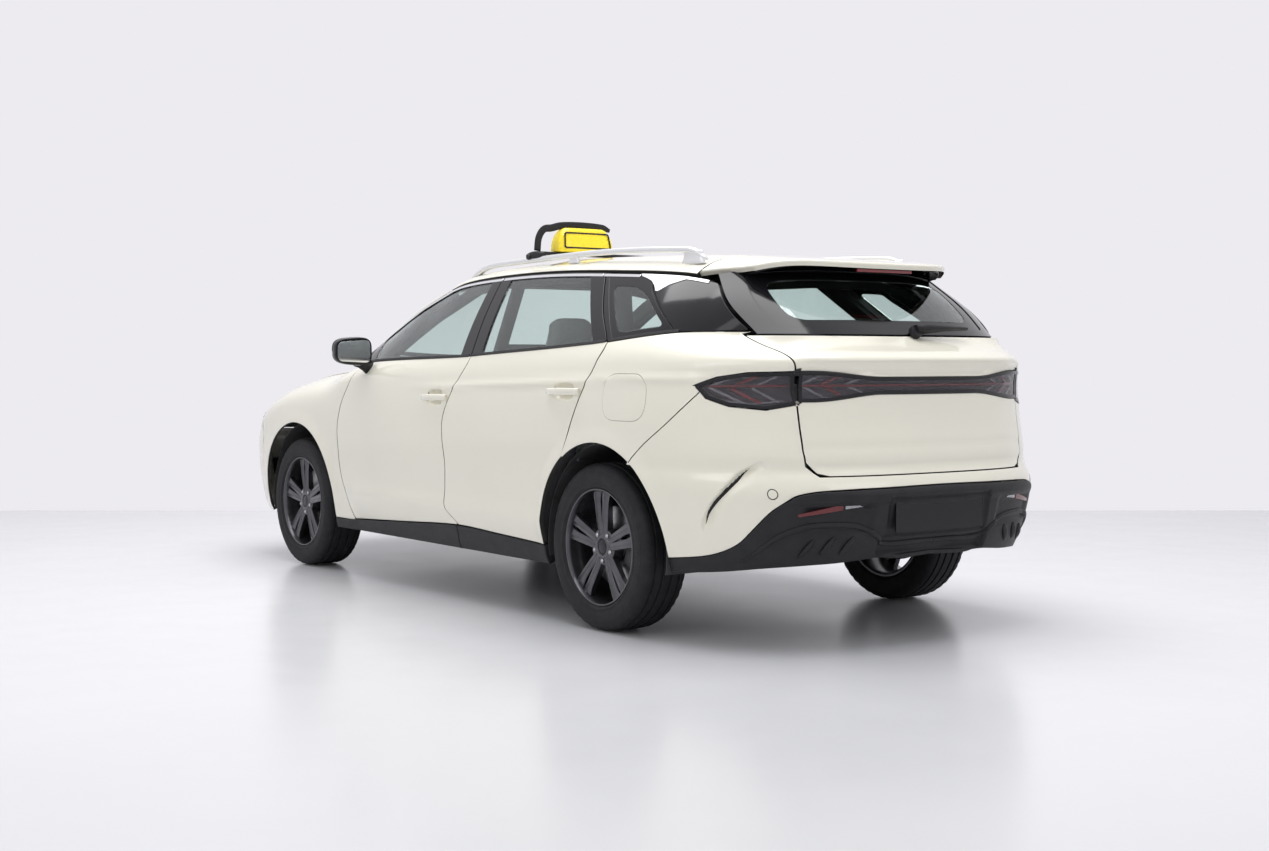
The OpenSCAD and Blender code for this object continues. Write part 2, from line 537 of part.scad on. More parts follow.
module inner_frame() {
    function under(x, d) = [x * sx, edge_y(x * sx) - 78 * sy, edge_z(x * sx) - d];
    door_side = function(x, z) door_side_y(x, z);
    wing_side = function(x, z) side_y(x, z);
    glasshouse = function(x, z) window_y(x, z);
    both_sides() {
        rail([under(900, 44), under(700, 44), under(480, 44), under(262, 42), under(120, 30), under(-275, 24),
            under(-1000, 24), under(-1560, 24), [-1690 * sx, 540 * sy, 1375 * sz], [-1975 * sx, 600 * sy, 1125 * sz]], 22);
        rail([under(-268, 30), [-290 * sx, 716 * sy, 1110 * sz], [-180 * sx, 735 * sy, 800 * sz],
            [-180 * sx, 735 * sy, 300 * sz]], 23);
        rail([under(-1080, 24), [-1368 * sx, 765 * sy, 1168 * sz], [-1400 * sx, 730 * sy, 860 * sz]], 26);
        rail([[-1368 * sx, 765 * sy, 1168 * sz], [-1975 * sx, 600 * sy, 1125 * sz]], 19);
        rail([under(900, 50), [917 * sx, 724 * sy, 1030 * sz], [917 * sx, 724 * sy, 300 * sz]], 27);
        translate([-950 * sx, 728.3 * sy, floor_z + 6]) cube([1850 * sx, 70 * sy, 95]);
        translate([-1270 * sx, 548 * sy, 1418 * sz]) cube([90, 46 * sy, 26]);
        // bulkhead and the front's long rails
        translate([890 * sx, 0, floor_z + 60]) cube([14, 745 * sy, 815 * sz]);
        translate([895 * sx, 440 * sy, 300]) cube([1380 * sx, 37.5 * sy, 80]);
        translate([1040 * sx, 440 * sy, 370]) cube([60, 37.5 * sy, 650 * sz]);
        translate([2030 * sx, 440 * sy, 370]) cube([50, 37.5 * sy, 450 * sz]);
        translate([2240 * sx, 440 * sy, 370]) cube([110 * sx, 37.5 * sy, 130 * sz]);
        // tail posts
        translate([-2040 * sx, 582 * sy, 482.3]) cube([75, 50, 636 * sz]);
        translate([-2180 * sx, 440 * sy, 482.3]) cube([60, 80, 150]);
        translate([-2300 * sx, 440 * sy, 608]) cube([165, 80, 32]);
        translate([-2180 * sx, 470 * sy, 482.3]) cube([180, 120 * sy, 30]);
        // pads behind the wing, the door hinges, the quarter, the fuel flap, the sill and the lamps
        side_slab(908 * sx, 1000 * sx, 2, function(x) 880 * sz, function(x) 930 * sz, 1, 200, wing_side, -3);
        difference() {
            union() for (z = [420, 840])
                side_slab(830 * sx, 930 * sx, 2, function(x) z * sz, function(x) (z + 50) * sz, 1, 190, door_side, -32);
            flat_xz(0, 1200) offset(delta = -27.6) front_door_outline();
        }
        difference() {
            union() for (z = [440, 640])
                side_slab(-240 * sx, -152 * sx, 2, function(x) z * sz, function(x) (z + 50) * sz, 1, 190, door_side, -32);
            flat_xz(0, 1200) offset(delta = -27.6) rear_door_outline();
        }
        side_slab(-1450 * sx, -1400 * sx, 1, function(x) 900 * sz, function(x) 1040 * sz, 3, 200, door_side, -3);
        for (x = [200, -700]) translate([x * sx, 760 * sy, 235 * sz]) cube([60, 140 * sy, 85 * sz]);
        side_slab(2030 * sx, 2080 * sx, 1, function(x) 765 * sz, function(x) 805 * sz, 1, 340, wing_side, -10);
        wrap_slab(0.5, 0.56, 1, function(u) 950 * sz, function(u) 1000 * sz, 1, 40, 160, function(u, z, d) tail_point(u, z, d));
        wrap_slab(0.135, 0.17, 1, function(u) 390 * sz, function(u) 640 * sz, 3, 4, 50, function(u, z, d) tail_point(u, z, d));
        // flange behind the quarter window and its gloss panel
        intersection() {
            side_slab(-1990 * sx, -1080 * sx, 10, function(x) belt_z(x) - 24, function(x) edge_z(x) - 12, 4, 66, glasshouse, -3);
            flat_xz(0, 1200) difference() {
                offset(delta = 3) union() {
                    quarter_window();
                    pillar_outline();
                }
                offset(delta = -24) quarter_window();
            }
        }
        // flange along the windscreen's side, and the bonnet's hinge bracket
        screen_patch(0.02, 0.97, 4, 0.9, 0.965, 1, 0, 38);
        bonnet_patch(1040 * sx, 1142 * sx, 1, 440 * sy, 477 * sy, 1, 30, 70);
    }
    roof_patch(roof_rear - 2.2, -1590 * sx, 1, -560 * sy, 560 * sy, 8, 20, 76);
    roof_patch(-300 * sx, -250 * sx, 1, -585 * sy, 585 * sy, 8, 20, 50);
    roof_patch(150 * sx, 205 * sx, 1, -585 * sy, 585 * sy, 8, 20, 78);
    wrap_slab(-0.45, 0.45, 8, function(u) 430 * sz, function(u) 530 * sz, 1, 3, 45, function(u, z, d) nose_point(u, z, d));
    wrap_slab(-0.4, 0.4, 8, function(u) 614 * sz, function(u) 652 * sz, 1, 3, 60, function(u, z, d) tail_point(u, z, d));
}
// Room for the tailgate's frame, with its gap
module tailgate_space() {
    rear_slab(-0.08, 1.06, -1.03, 1.03, -60, 46);
}
rail_path = [[235, 548, 1500], [330, 556, 1526], [60, 562, 1552], [-220, 566, 1566], [-955, 572, 1575], [-1500, 566, 1557],
    [-1570, 560, 1543], [-1622, 552, 1510]];
module rail_run(r) {
    path = [rail_path[0], rail_path[2], rail_path[3], rail_path[4], rail_path[5], rail_path[6], rail_path[7]];
    for (i = [0:len(path) - 2]) hull() for (k = [i, i + 1])
        translate([path[k][0] * sx, path[k][1] * sy, path[k][2] * sz - 12]) scale([1, 1.2, 1]) sphere(r = r, $fn = 8);
}
module roof_rails() {
    color([0.85, 0.86, 0.87]) meshed() difference() {
        both_sides() {
            rail_run(13);
            for (p = [[215, 1540], [-700, 1566], [-1545, 1532]]) {
                z = roof_top(p[0] * sx, 563 * sy) - 8;
                translate([p[0] * sx - 35, 552 * sy, z]) cube([70, 22, p[1] * sz - z]);
            }
        }
        for (d = [0.4, -15]) translate([0, 0, d]) roof_panel();
    }
}
// The sign's bar clamps on both rails. An arm runs from the left foot up over the sign.
bar_x = -375 * sx;
bar_z = 1589 * sz;
rail_y = 569 * sy;
sign_y = 310 * sy;
module sign_bar() {
    color(black) meshed() {
        both_sides() difference() {
            translate([bar_x, rail_y, bar_z]) hull() {
                translate([-70, -20, -40]) cube([130, 40, 40]);
                translate([-38, -14, 0]) cube([70, 28, 12]);
            }
            rail_run(13.4);
        }
        translate([bar_x - 20, -rail_y, bar_z - 9]) cube([40, 2 * rail_y, 18]);
        arm = [[556, 1600], [548, 1660], [520, 1700], [470, 1722], [400, 1735], [300, 1739], [200, 1730], [140, 1712]];
        for (i = [0:len(arm) - 2]) hull() for (k = [i, i + 1])
            translate([bar_x - 14, arm[k][0] * sy, arm[k][1] * sz + sign_h - 112]) rotate([0, 90, 0])
                cylinder(r = 6, h = 34, $fn = 12);
    }
}
module taxi_sign() {
    color([0.98, 0.82, 0.1]) meshed() translate([bar_x, sign_y, bar_z + 9.3]) hull() for (y = [-1, 1]) {
        translate([-54, y * (sign_w / 2 - 16), 16]) rotate([0, 90, 0]) cylinder(r = 16, h = 108, $fn = 16);
        translate([-34, y * (sign_w / 2 - 54), sign_h - 26]) rotate([0, 90, 0]) cylinder(r = 26, h = 68, $fn = 16);
    }
}

// ---- Nose and bonnet ---------------------------------------------------------------------------------------
function bonnet_rear(t) = lerp(1185, 1012, t * t) * sx;
function bonnet_half(x) = sy * curve([[1000, 735], [1400, 735], [1700, 712], [1950, 655], [2130, 572], [2230, 503],
    [2290, 430], [2335, 360]], x / sx);
module bonnet() {
    function grid(d, k) = [for (s = steps(0, 1, 12)) [for (t = steps(-1, 1, 14))
        let(x = lerp(bonnet_rear(t) + k, 2332 * sx - k, s), y = t * (bonnet_half(x) - side_gap - k))
        [x, y, bonnet_top(x, y) - d]]];
    color(paint) meshed() {
        grid_slab(grid(0, 0), grid(12, 0));
        grid_slab(grid(10, 24), grid(34, 30));
    }
}
// Tray between the bonnet and the windscreen
module cowl() {
    function front(t) = let(x = bonnet_rear(t) - panel_gap, y = t * (bonnet_half(x) - side_gap)) [x, y, bonnet_top(x, y) - 4];
    function rear(t) = screen_point(0, t) + [0.5, 0, 0];
    function grid(d) = [for (s = [0, 1]) [for (t = steps(-1, 1, 12)) lerp(rear(t), front(t), s) - [0, 0, d]]];
    color(black) {
        grid_slab(grid(0), grid(8));
        // end pieces that close the pillar's foot
        both_sides() side_slab(815 * sx, 925 * sx, 4, function(x) fender_top(x) + 0.6, function(x) edge_z(x) - 6, 2, 6,
            function(x, z) window_y(x, z) - 1);
    }
}
lamp_u = 0.42;
function lamp_low(u) = lerp(690, 795, ease((abs(u) - lamp_u) / (0.93 - lamp_u))) * sz;
function lamp_high(u) = lerp(738, 868, ease((abs(u) - lamp_u) / (0.93 - lamp_u))) * sz;
// Room for the bonnet, with its gap
module bonnet_space() {
    function grid(d) = [for (s = steps(0, 1, 12)) [for (t = steps(-1, 1, 14))
        let(x = lerp(bonnet_rear(t) - 60, 2336 * sx, s), y = t * (bonnet_half(x) + side_gap))
        [x, y, bonnet_top(x, y) - d]]];
    grid_slab(grid(-40), grid(39));
}
module no_bonnet() {
    difference() {
        children();
        bonnet_space();
    }
}
module headlamp() {
    difference() {
        lamp_block();
        bonnet_space();
    }
}
module lamp_block() {
    intersection() {
        side_slab(1870 * sx, 2325 * sx, 16, function(x) 640 * sz, function(x) bonnet_top(x, bonnet_half(x) + 3), 8, 20,
            function(x, z) side_y(x, z));
        flat_xz(0, 1200) polygon([[1935 * sx, 790 * sz], [1985 * sx, 872 * sz], [2050 * sx, 920 * sz], [2340 * sx, 760 * sz],
            [2325 * sx, 706 * sz], [2240 * sx, 716 * sz], [2100 * sx, 742 * sz]]);
    }
}
module headlamps() { color([0.8, 0.82, 0.85]) both_sides() meshed() headlamp(); }
module front_bumper() { color(paint) meshed() front_bumper_skin(); }
module front_bumper_skin() {
    difference() {
        union() {
            wrap_slab(-1, 1, 34, function(u) 255 * sz, function(u) 660 * sz, 6, 0, skin_t,
                function(u, z, d) nose_point(u, z, d));
            both_sides() intersection() {
                side_slab(1870 * sx, 2325 * sx, 12, function(x) 655 * sz, function(x) bonnet_z(x) - 20 * sz, 3, skin_t,
                    function(x, z) side_y(x, z));
                flat_xz(0, 1200) polygon([[1898 * sx, 650 * sz], [1900 * sx, 690 * sz], [1930 * sx, 782 * sz],
                    [2100 * sx, 736 * sz], [2240 * sx, 710 * sz], [2330 * sx, 700 * sz], [2330 * sx, 650 * sz]]);
            }
            wrap_slab(-0.42, 0.42, 14, function(u) 658 * sz, function(u) 736 * sz, 3, 0, skin_t,
                function(u, z, d) nose_point(u, z, d));
        }
        bonnet_space();
        flat_xz(-1200, 1200) arch_outline(front_x, arch_r);
        flat_xz(-1200, 1200) translate([front_x, 0]) square([1895 * sx - front_x, 690 * sz]);
        translate([2000 * sx, -420 * sy, 300 * sz]) cube([600, 840 * sy, 120 * sz]);
    }
}

// ---- Tail --------------------------------------------------------------------------------------------------
lid_low = 665 * sz;
function lid_half(z) = sy * curve([[640, 560], [690, 582], [760, 592], [900, 598], [1050, 604], [1120, 622], [1200, 655]], z / sz);
// Upper tail, under the spoiler: each level runs between the two rear pillars
function rear_edge(s) = [lerp(-2045, -1739, s) * sx, sy * curve([[0, 652], [0.5, 666], [1, 598]], s), lerp(1193, 1438, s) * sz];
function rear_middle(s) = [lerp(-2186, -1862, s) * sx, 0, lerp(1193, 1476, s) * sz];
function rear_point(s, t, d) =
    let(e = rear_edge(s), m = rear_middle(s), k = 1 - pow(abs(t), 3.2))
    [lerp(e[0], m[0], k) + d * 0.77 * (0.3 + 0.7 * k), e[1] * t - sign(t) * d * 0.75 * (1 - k), lerp(e[2], m[2], k) - d * 0.5];
module rear_slab(s0, s1, t0, t1, d0, d1, ns = 6, nt = 20) {
    function grid(d) = [for (s = steps(s0, s1, ns)) [for (t = steps(t0, t1, nt)) rear_point(s, t, d)]];
    grid_slab(grid(d0), grid(d1));
}
lip_x = -2090 * sx;
function spoiler_x(t) = lerp(lip_x, -1930 * sx, pow(abs(t), 4));
module spoiler(gap = 0) {
    function grid(top) = [for (s = steps(0, 1, 8)) [for (t = steps(-0.97, 0.97, 16))
        let(x = lerp(roof_rear - side_gap + gap * 0.08, spoiler_x(t), s))
        [x, t * (lerp(edge_y(x), 575 * sy, s) + gap), roof_top(x, t * edge_y(x)) - (top ? -gap : lerp(60, 16, s) + gap)]]];
    grid_slab(grid(true), grid(false));
}
function bar_low(y) = lerp(967, 940, ease((abs(y) / sy - 250) / 300)) * sz;
function bar_high(y) = lerp(1032, 1054, ease((abs(y) / sy - 250) / 300)) * sz;
// Part of the lid between two heights, from depth d0 to d1 behind its face
module lid_slab(lo, hi, nz, inset, d0, d1) {
    function grid(d) = [for (t = steps(-1, 1, 16)) [for (k = steps(0, 1, nz))
        let(y0 = t * 600 * sy, z = lerp(lo(y0), hi(y0), k), y = t * (lid_half(z) - side_gap - inset))
        [tail_face(y, z) + d, y, z]]];
    grid_slab(grid(d0), grid(d1));
}
module tailgate() {
    color(paint) meshed() {
        lid_slab(function(y) lid_low, function(y) bar_low(y), 5, 0, 0, 18);
        lid_slab(function(y) bar_high(y), function(y) 1192 * sz, 4, 0, 0, 18);
        lid_slab(function(y) lid_low + 26, function(y) 1180 * sz, 3, 30, 27, 56);
        lid_slab(function(y) bar_low(y) - 26, function(y) bar_low(y), 1, 0, 16, 29);
        lid_slab(function(y) bar_high(y), function(y) bar_high(y) + 26, 1, 0, 16, 29);
        lid_slab(function(y) lid_low + 26, function(y) lid_low + 60, 1, 30, 16, 29);
        difference() {
            union() {
                rear_slab(0, 1, -1, 1, 0, 34, 4, 16);
                spoiler();
            }
            rear_slab(0.1, 0.93, -0.86, 0.86, -20, 60);
        }
        lid_slab(function(y) 1160 * sz, function(y) 1200 * sz, 1, 8, 12, 60);
    }
}
module tailgate_glass() {
    color([0.5, 0.6, 0.58, 0.5]) rear_slab(0.103, 0.927, -0.857, 0.857, 6, 6 + glass_t);
}
module light_bar() {
    color([0.25, 0.1, 0.1])
        lid_slab(function(y) bar_low(y) + 0.3, function(y) bar_high(y) - 0.3, 3, 0.5, -2, 15);
}
module tail_lamps() { color([0.4, 0.1, 0.1]) both_sides() meshed() tail_lamp(); }
module tail_lamp() {
    intersection() {
        wrap_slab(0.4, 0.92, 14, function(u) 890 * sz, function(u) 1075 * sz, 6, -1, 46,
            function(u, z, d) tail_point(u, z, d));
        flat_xz(0, 1200) polygon(lamp_side(0));
        rotate([90, 0, 90]) translate([0, 0, -2600]) linear_extrude(2600) polygon([[1200, 600], [1200, 1300],
            [lid_half(1000 * sz) + side_gap, 1300], [lid_half(1000 * sz) + side_gap, 600]]);
    }
}
module rear_wiper() {
    color(black) meshed() {
        hull() {
            translate([-2194.6 * sx, -40 * sy, 1199 * sz]) rotate([0, -60, 0]) cylinder(r = 24, h = 22, $fn = 24);
            translate([-2200 * sx, -100 * sy, 1206 * sz]) rotate([0, -60, 0]) cylinder(r = 12, h = 18, $fn = 24);
        }
        hull() {
            translate([-2200 * sx, -100 * sy, 1206 * sz]) rotate([0, -60, 0]) cylinder(r = 10, h = 16, $fn = 24);
            translate([-2196 * sx, -330 * sy, 1214 * sz]) rotate([0, -60, 0]) cylinder(r = 5, h = 10, $fn = 16);
        }
    }
}
// Bumper: one painted skin round the tail, with the black valance and the plate's recess below it
function valance_top(u) = lerp(615, 340, ease((abs(u) - 0.36) / 0.28)) * sz;
module rear_bumper() { color(paint) meshed() rear_bumper_skin(); }
module rear_bumper_skin() {
    difference() {
        wrap_slab(-1, 1, 38, function(u) valance_top(u), function(u) 980 * sz, 8, 0, skin_t,
            function(u, z, d) tail_point(u, z, d));
        rotate([90, 0, 90]) translate([0, 0, -2600]) linear_extrude(800) polygon(concat(
            [[-lid_half(lid_low) - side_gap, lid_low - panel_gap], [lid_half(lid_low) + side_gap, lid_low - panel_gap]],
            [for (z = steps(700 * sz, 1000 * sz, 5)) [lid_half(z) + side_gap, z]],
            [for (z = steps(1000 * sz, 700 * sz, 5)) [-lid_half(z) - side_gap, z]]));
        flat_xz(-1200, 1200) {
            arch_outline(rear_arch_x, arch_r);
            polygon(lamp_side(panel_gap));
            polygon(concat(line_up(bumper_at, 600 * sz, 985 * sz, 10, -side_gap), [[-1000 * sx, 985 * sz], [-1000 * sx, 600 * sz]]));
            translate([-2260 * sx, 950 * sz]) square([400 * sx, 100]);
            translate([rear_arch_x, 100]) square([800, 500 * sz]);
        }
    }
}
module rear_diffuser() {
    color(black) meshed() {
        rear_diffuser_skin();
        translate([tail_x(500 * sz) + 5.7, -270, 410 * sz]) cube([6, 540, 184 * sz]);
        translate([-2296 * sx, -520 * sy, 345 * sz]) cube([180, 1040 * sy, 10]);
    }
}
module rear_diffuser_skin() {
    function low(u) = lerp(338, 282, ease((abs(u) - 0.6) / 0.3)) * sz;
    difference() {
        wrap_slab(-1, 1, 38, function(u) low(u), function(u) valance_top(u) - side_gap, 4, -4, 10,
            function(u, z, d) tail_point(u, z, d));
        translate([-2600, -256, 428 * sz]) cube([2600 + tail_x(500 * sz) + 30, 512, 148 * sz]);
        flat_xz(-1200, 1200) {
            arch_outline(rear_arch_x, arch_r);
            translate([rear_arch_x, 100]) square([800, 500 * sz]);
        }
    }
}
module number_plate() {
    color([0.06, 0.06, 0.06]) difference() {
        translate([tail_x(500 * sz) + 0.3, -240, 442 * sz]) cube([5, 480, 122]);
        for (y = [-180, 180]) translate([tail_x(500 * sz) - 1, y, 442 * sz + 61]) rotate([0, 90, 0]) cylinder(r = 3, h = 10);
    }
}
module sills() { color(black) both_sides() meshed() sill(); }
module sill() {
    intersection() {
        side_slab(-1200 * sx, 1120 * sx, 20, function(x) 228 * sz, function(x) sill_z(x) - side_gap, 4, 60,
            function(x, z) door_side_y(x, max(z, 300 * sz)) + 4);
        flat_xz(0, 1200) difference() {
            translate([-1200 * sx, 150]) square([2320 * sx, 300]);
            arch_outline(front_x, arch_r);
            arch_outline(rear_arch_x, arch_r);
        }
    }
}

// ---- Underneath --------------------------------------------------------------------------------------------
module wheel_liner(x, r, y0, y1, hole) {
    translate([x, y1, arch_z]) rotate([90, 0, 0]) difference() {
        cylinder(r = r - 4, h = y1 - y0, $fn = 48);
        translate([0, 0, -1]) cylinder(r = r - 8, h = y1 - y0 - 3, $fn = 48);
        translate([-r, -r - 75, -2]) cube([2 * r, r, y1 - y0 + 4]);
        translate([0, 0, -5]) cylinder(r = hole, h = y1 - y0 + 10, $fn = 32);
    }
}
module wheel_liners() {
    color(black) both_sides() {
        wheel_liner(front_x, arch_r, 478 * sy, 868 * sy, 120);
        wheel_liner(rear_arch_x, arch_r, 600 * sy, 880 * sy, 110);
    }
}
floor_back = -1075;
module floor_pan() {
    color([0.3, 0.3, 0.32]) {
        difference() {
            union() {
                translate([-948 * sx, -728 * sy, floor_z + 20]) cube([1828 * sx, 1456 * sy, 12]);
                translate([floor_back * sx, -590 * sy, floor_z + 20]) cube([200, 1180 * sy, 12]);
            }
            translate([-900 * sx, -140, floor_z]) cube([1790 * sx, 280, 60]);
        }
        translate([-912 * sx, -146, floor_z + 31]) cube([1792 * sx, 292, 12]);
        translate([-2180 * sx, -599.5 * sy, 470]) cube([1110 * sx, 1199 * sy, 12]);
        translate([floor_back * sx - 6, -590 * sy, floor_z + 20]) cube([12, 1180 * sy, 482 - floor_z - 20]);
    }
}
module drive_unit() {
    color(steel) translate([1120 * sx, -330, 300]) cube([620, 660, 400]);
}
module battery_pack() {
    color([0.25, 0.26, 0.28]) difference() {
        translate([-900 * sx, -560 * sy, floor_z - 45]) cube([1700 * sx, 1120 * sy, 64.7]);
        for (x = [-840, 740], y = [-520, 520]) translate([x * sx, y * sy, floor_z - 50]) cylinder(r = 6, h = 80);
    }
}
module front_subframe() {
    color(steel) {
        for (y = [-440, 380]) translate([1040 * sx, y, 215]) cube([780, 60, 50]);
        for (x = [1040, 1760]) translate([x * sx, -440, 215]) cube([60, 880, 50]);
        for (x = [1180, 1660]) {
            translate([x * sx, -440, 215]) cube([60, 880, 50]);
            for (y = [-140, 100]) translate([x * sx + 10, y, 262]) cube([40, 40, 37.7]);
        }
        both_sides() {
            for (x = [1046, 1770]) translate([x * sx, 430, 260]) cube([44, 30, 39.6]);
            translate([front_x - 20, 430, 190]) cube([40, king_y - 430, 21.7]);
            translate([front_x - 20, 430, 190]) cube([40, 20, 60]);
            translate([front_x, king_y, 190]) cylinder(r = 24, h = 21.7);
        }
    }
}
module rear_axle() {
    color(steel) {
        translate([rear_x - 60, -560, 250]) cube([120, 1120, 60]);
        both_sides() {
            translate([rear_x - 45, 540, 262]) cube([90, 50, 110]);
            translate([rear_x, 580, tyre_r]) rotate([-90, 0, 0]) cylinder(r = 42, h = 140);
            hub_flange(rear_x, 700);
            translate([rear_x + 30, 500, 262]) cube([210, 44, 40]);
            translate([rear_x - 90, 500, 290]) cylinder(r = 42, h = 179.7);
            translate([rear_x - 110, 460, 262]) cube([80, 80, 40]);
        }
    }
}
// A wheel stands at the origin with its axle along Y and its outer face towards +Y.
module wheel_at(x, side) {
    translate([x, side * wheel_y, tyre_r]) mirror([0, side < 0 ? 1 : 0, 0]) children();
}
module tyre() {
    h = tyre_w / 2;
    color([0.07, 0.07, 0.08]) rotate([90, 0, 0]) rotate_extrude($fn = 96) polygon([
        [rim_r + 0.3, -h + 14], [rim_r + 14, -h + 4], [rim_r + 50, -h], [tyre_r - 32, -h + 4], [tyre_r - 10, -h + 16],
        [tyre_r, -h + 36], [tyre_r, h - 36], [tyre_r - 10, h - 16], [tyre_r - 32, h - 4], [rim_r + 50, h],
        [rim_r + 14, h - 4], [rim_r + 0.3, h - 14], [rim_r + 0.3, h - 30], [rim_r + 12, h - 34],
        [rim_r + 12, 34 - h], [rim_r + 0.3, 30 - h]]);
}
module rim() {
    h = tyre_w / 2;
    color([0.2, 0.2, 0.22]) {
        rotate([90, 0, 0]) rotate_extrude($fn = 96) polygon([[rim_r - 14, 12 - h], [rim_r, 12 - h], [rim_r, 30 - h],
            [rim_r - 6, 34 - h], [rim_r - 6, h - 34], [rim_r, h - 30], [rim_r, h - 12], [rim_r - 14, h - 12]]);
        difference() {
            union() {
                translate([0, h - 24, 0]) rotate([90, 0, 0]) cylinder(r = 78, h = 38);
                for (i = [0:spoke_count - 1]) rotate([0, i * 360 / spoke_count, 0]) for (s = [-1, 1])
                    rotate([0, 11 * s, 0]) translate([-15, h - 56, 60]) cube([30, 34, rim_r - 68]);
            }
            translate([0, h, 0]) rotate([90, 0, 0]) cylinder(r = hub_bore_r, h = 120);
            for (i = [0:4]) rotate([0, 36 + i * 72, 0]) translate([0, h, 57.15]) rotate([90, 0, 0]) cylinder(r = 7, h = 120);
        }
    }
}
module tyre_front_left() { wheel_at(front_x, 1) tyre(); }
module tyre_front_right() { wheel_at(front_x, -1) tyre(); }
module tyre_rear_left() { wheel_at(rear_x, 1) tyre(); }
module tyre_rear_right() { wheel_at(rear_x, -1) tyre(); }
module rim_front_left() { wheel_at(front_x, 1) rim(); }
module rim_front_right() { wheel_at(front_x, -1) rim(); }
module rim_rear_left() { wheel_at(rear_x, 1) rim(); }
module rim_rear_right() { wheel_at(rear_x, -1) rim(); }
// Hub flange behind a wheel, with the five stud holes
hub_face = wheel_y + tyre_w / 2 - 62.3;
module hub_flange(x, y0) {
    translate([x, y0, tyre_r]) rotate([-90, 0, 0]) difference() {
        cylinder(r = 74, h = hub_face - y0);
        translate([0, 0, 20]) cylinder(r = hub_bore_r + 3, h = 200);
        for (i = [0:4]) rotate([0, 0, 126 + i * 72]) translate([57.15, 0, 12]) cylinder(r = 7.5, h = 200);
    }
}
// Steering knuckle: an upright with its hub, turning on a vertical pin over the lower arm
king_y = wheel_y - 70;
module knuckle_left() {
    color(steel) {
        translate([front_x - 30, king_y - 26, 212]) cube([60, 50, 300]);
        translate([front_x, king_y, 212]) cylinder(r = 20, h = 310);
        hub_flange(front_x, king_y + 24);
    }
}
module knuckle_right() { mirror([0, 1, 0]) knuckle_left(); }

// ---- Cabin -------------------------------------------------------------------------------------------------
wheel_tilt = 66;
steer_x = 470 * sx;
steer_y = 370 * sy;
steer_z = 960 * sz;
module steering_wheel() {
    color(black) translate([steer_x, steer_y, steer_z]) rotate([0, -wheel_tilt, 0]) {
        rotate_extrude($fn = 48) translate([steering_r - 15, 0]) circle(r = 14, $fn = 24);
        translate([0, 0, -22]) cylinder(r = 62, h = 30);
        for (a = [90, -90, 180]) rotate([0, 0, a]) translate([40, -14, -7]) cube([steering_r - 62, 28, 12]);
        translate([0, 0, -74.7]) cylinder(r = 20, h = 60);
    }
}
module dashboard() {
    color([0.16, 0.16, 0.17]) meshed() {
        difference() {
            across([[600 * sx, 760], [600 * sx, 960 * sz], [680 * sx, 1030 * sz], [890 * sx - 0.3, 1050 * sz],
                [890 * sx - 0.3, 640]], -655 * sy, 655 * sy);
            translate([500, steer_y - 220, 600]) cube([180, 440, 250]);
        }
        translate([steer_x, steer_y, steer_z]) rotate([0, -wheel_tilt, 0]) translate([0, 0, -190]) cylinder(r = 34, h = 115);
        translate([560 * sx, -130, 990 * sz]) cube([20, 300, 190]);
        translate([572 * sx, -20, 985 * sz]) cube([60, 60, 60]);
        translate([-150 * sx, -98, floor_z + 43.3]) cube([800 * sx, 196, 330]);
    }
}
module seat(w, x, tall) {
    translate([x, 0, 0]) {
        hull() for (y = [-w / 2 + 50, w / 2 - 50]) {
            translate([250, y, 470]) sphere(r = 50, $fn = 8);
            translate([-210, y, 430]) sphere(r = 50, $fn = 8);
        }
        hull() for (y = [-w / 2 + 55, w / 2 - 55]) {
            translate([-250, y, 480]) sphere(r = 55, $fn = 8);
            translate([-410, y * 0.86, 930 + tall]) sphere(r = 48, $fn = 8);
        }
    }
}
module headrest(x, y, z) {
    translate([x, y, z]) hull() for (k = [-75, 75]) for (h = [0, 90])
        translate([0, k, h]) scale([0.9, 1, 1]) sphere(r = 46, $fn = 8);
    for (k = [-40, 40]) translate([x, y + k, z - 90]) cylinder(r = 6, h = 60, $fn = 8);
}
module seats() {
    color([0.75, 0.75, 0.73]) meshed() {
        both_sides() translate([0, 372 * sy, 0]) {
            seat(seat_w, 50 * sx, 130);
            headrest(50 * sx - 425, 0, 1165);
            for (y = [-180, 180]) translate([50 * sx - 200, y - 15, floor_z + 32.3]) cube([400, 30, 150]);
        }
        seat(1170 * sy, -760 * sx, 20);
        for (y = [-390, 0, 390]) headrest(-760 * sx - 425, y * sy, 1035);
        translate([-900 * sx, -550 * sy, floor_z + 43.3]) cube([400, 1100 * sy, 160]);
    }
}

floor_pan();
sills();
body_frame();
front_fenders();
quarter_panels();
roof_panel();
roof_rails();
fixed_glass();
pillar_trim();
front_bumper();
rear_bumper();
rear_diffuser();
headlamps();
tail_lamps();
wheel_liners();
drive_unit();
battery_pack();
front_subframe();
rear_axle();
dashboard();
seats();
number_plate();
sign_bar();
taxi_sign();
bonnet();
door_front_left();
door_front_right();
door_rear_left();
door_rear_right();
door_glass_front_left();
door_glass_front_right();
door_glass_rear_left();
door_glass_rear_right();
mirror_left();
mirror_right();
cowl();
tailgate();
tailgate_glass();
light_bar();
rear_wiper();
fuel_flap();
tyre_front_left();
tyre_front_right();
tyre_rear_left();
tyre_rear_right();
rim_front_left();
rim_front_right();
rim_rear_left();
rim_rear_right();
knuckle_left();
knuckle_right();
steering_wheel();
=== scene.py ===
"""Ivory estate taxi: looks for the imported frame. Shapes are computed in millimetres and scaled to metres."""
import math

import bpy
import bmesh
import numpy as np
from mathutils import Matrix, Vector
from mathutils.geometry import delaunay_2d_cdt


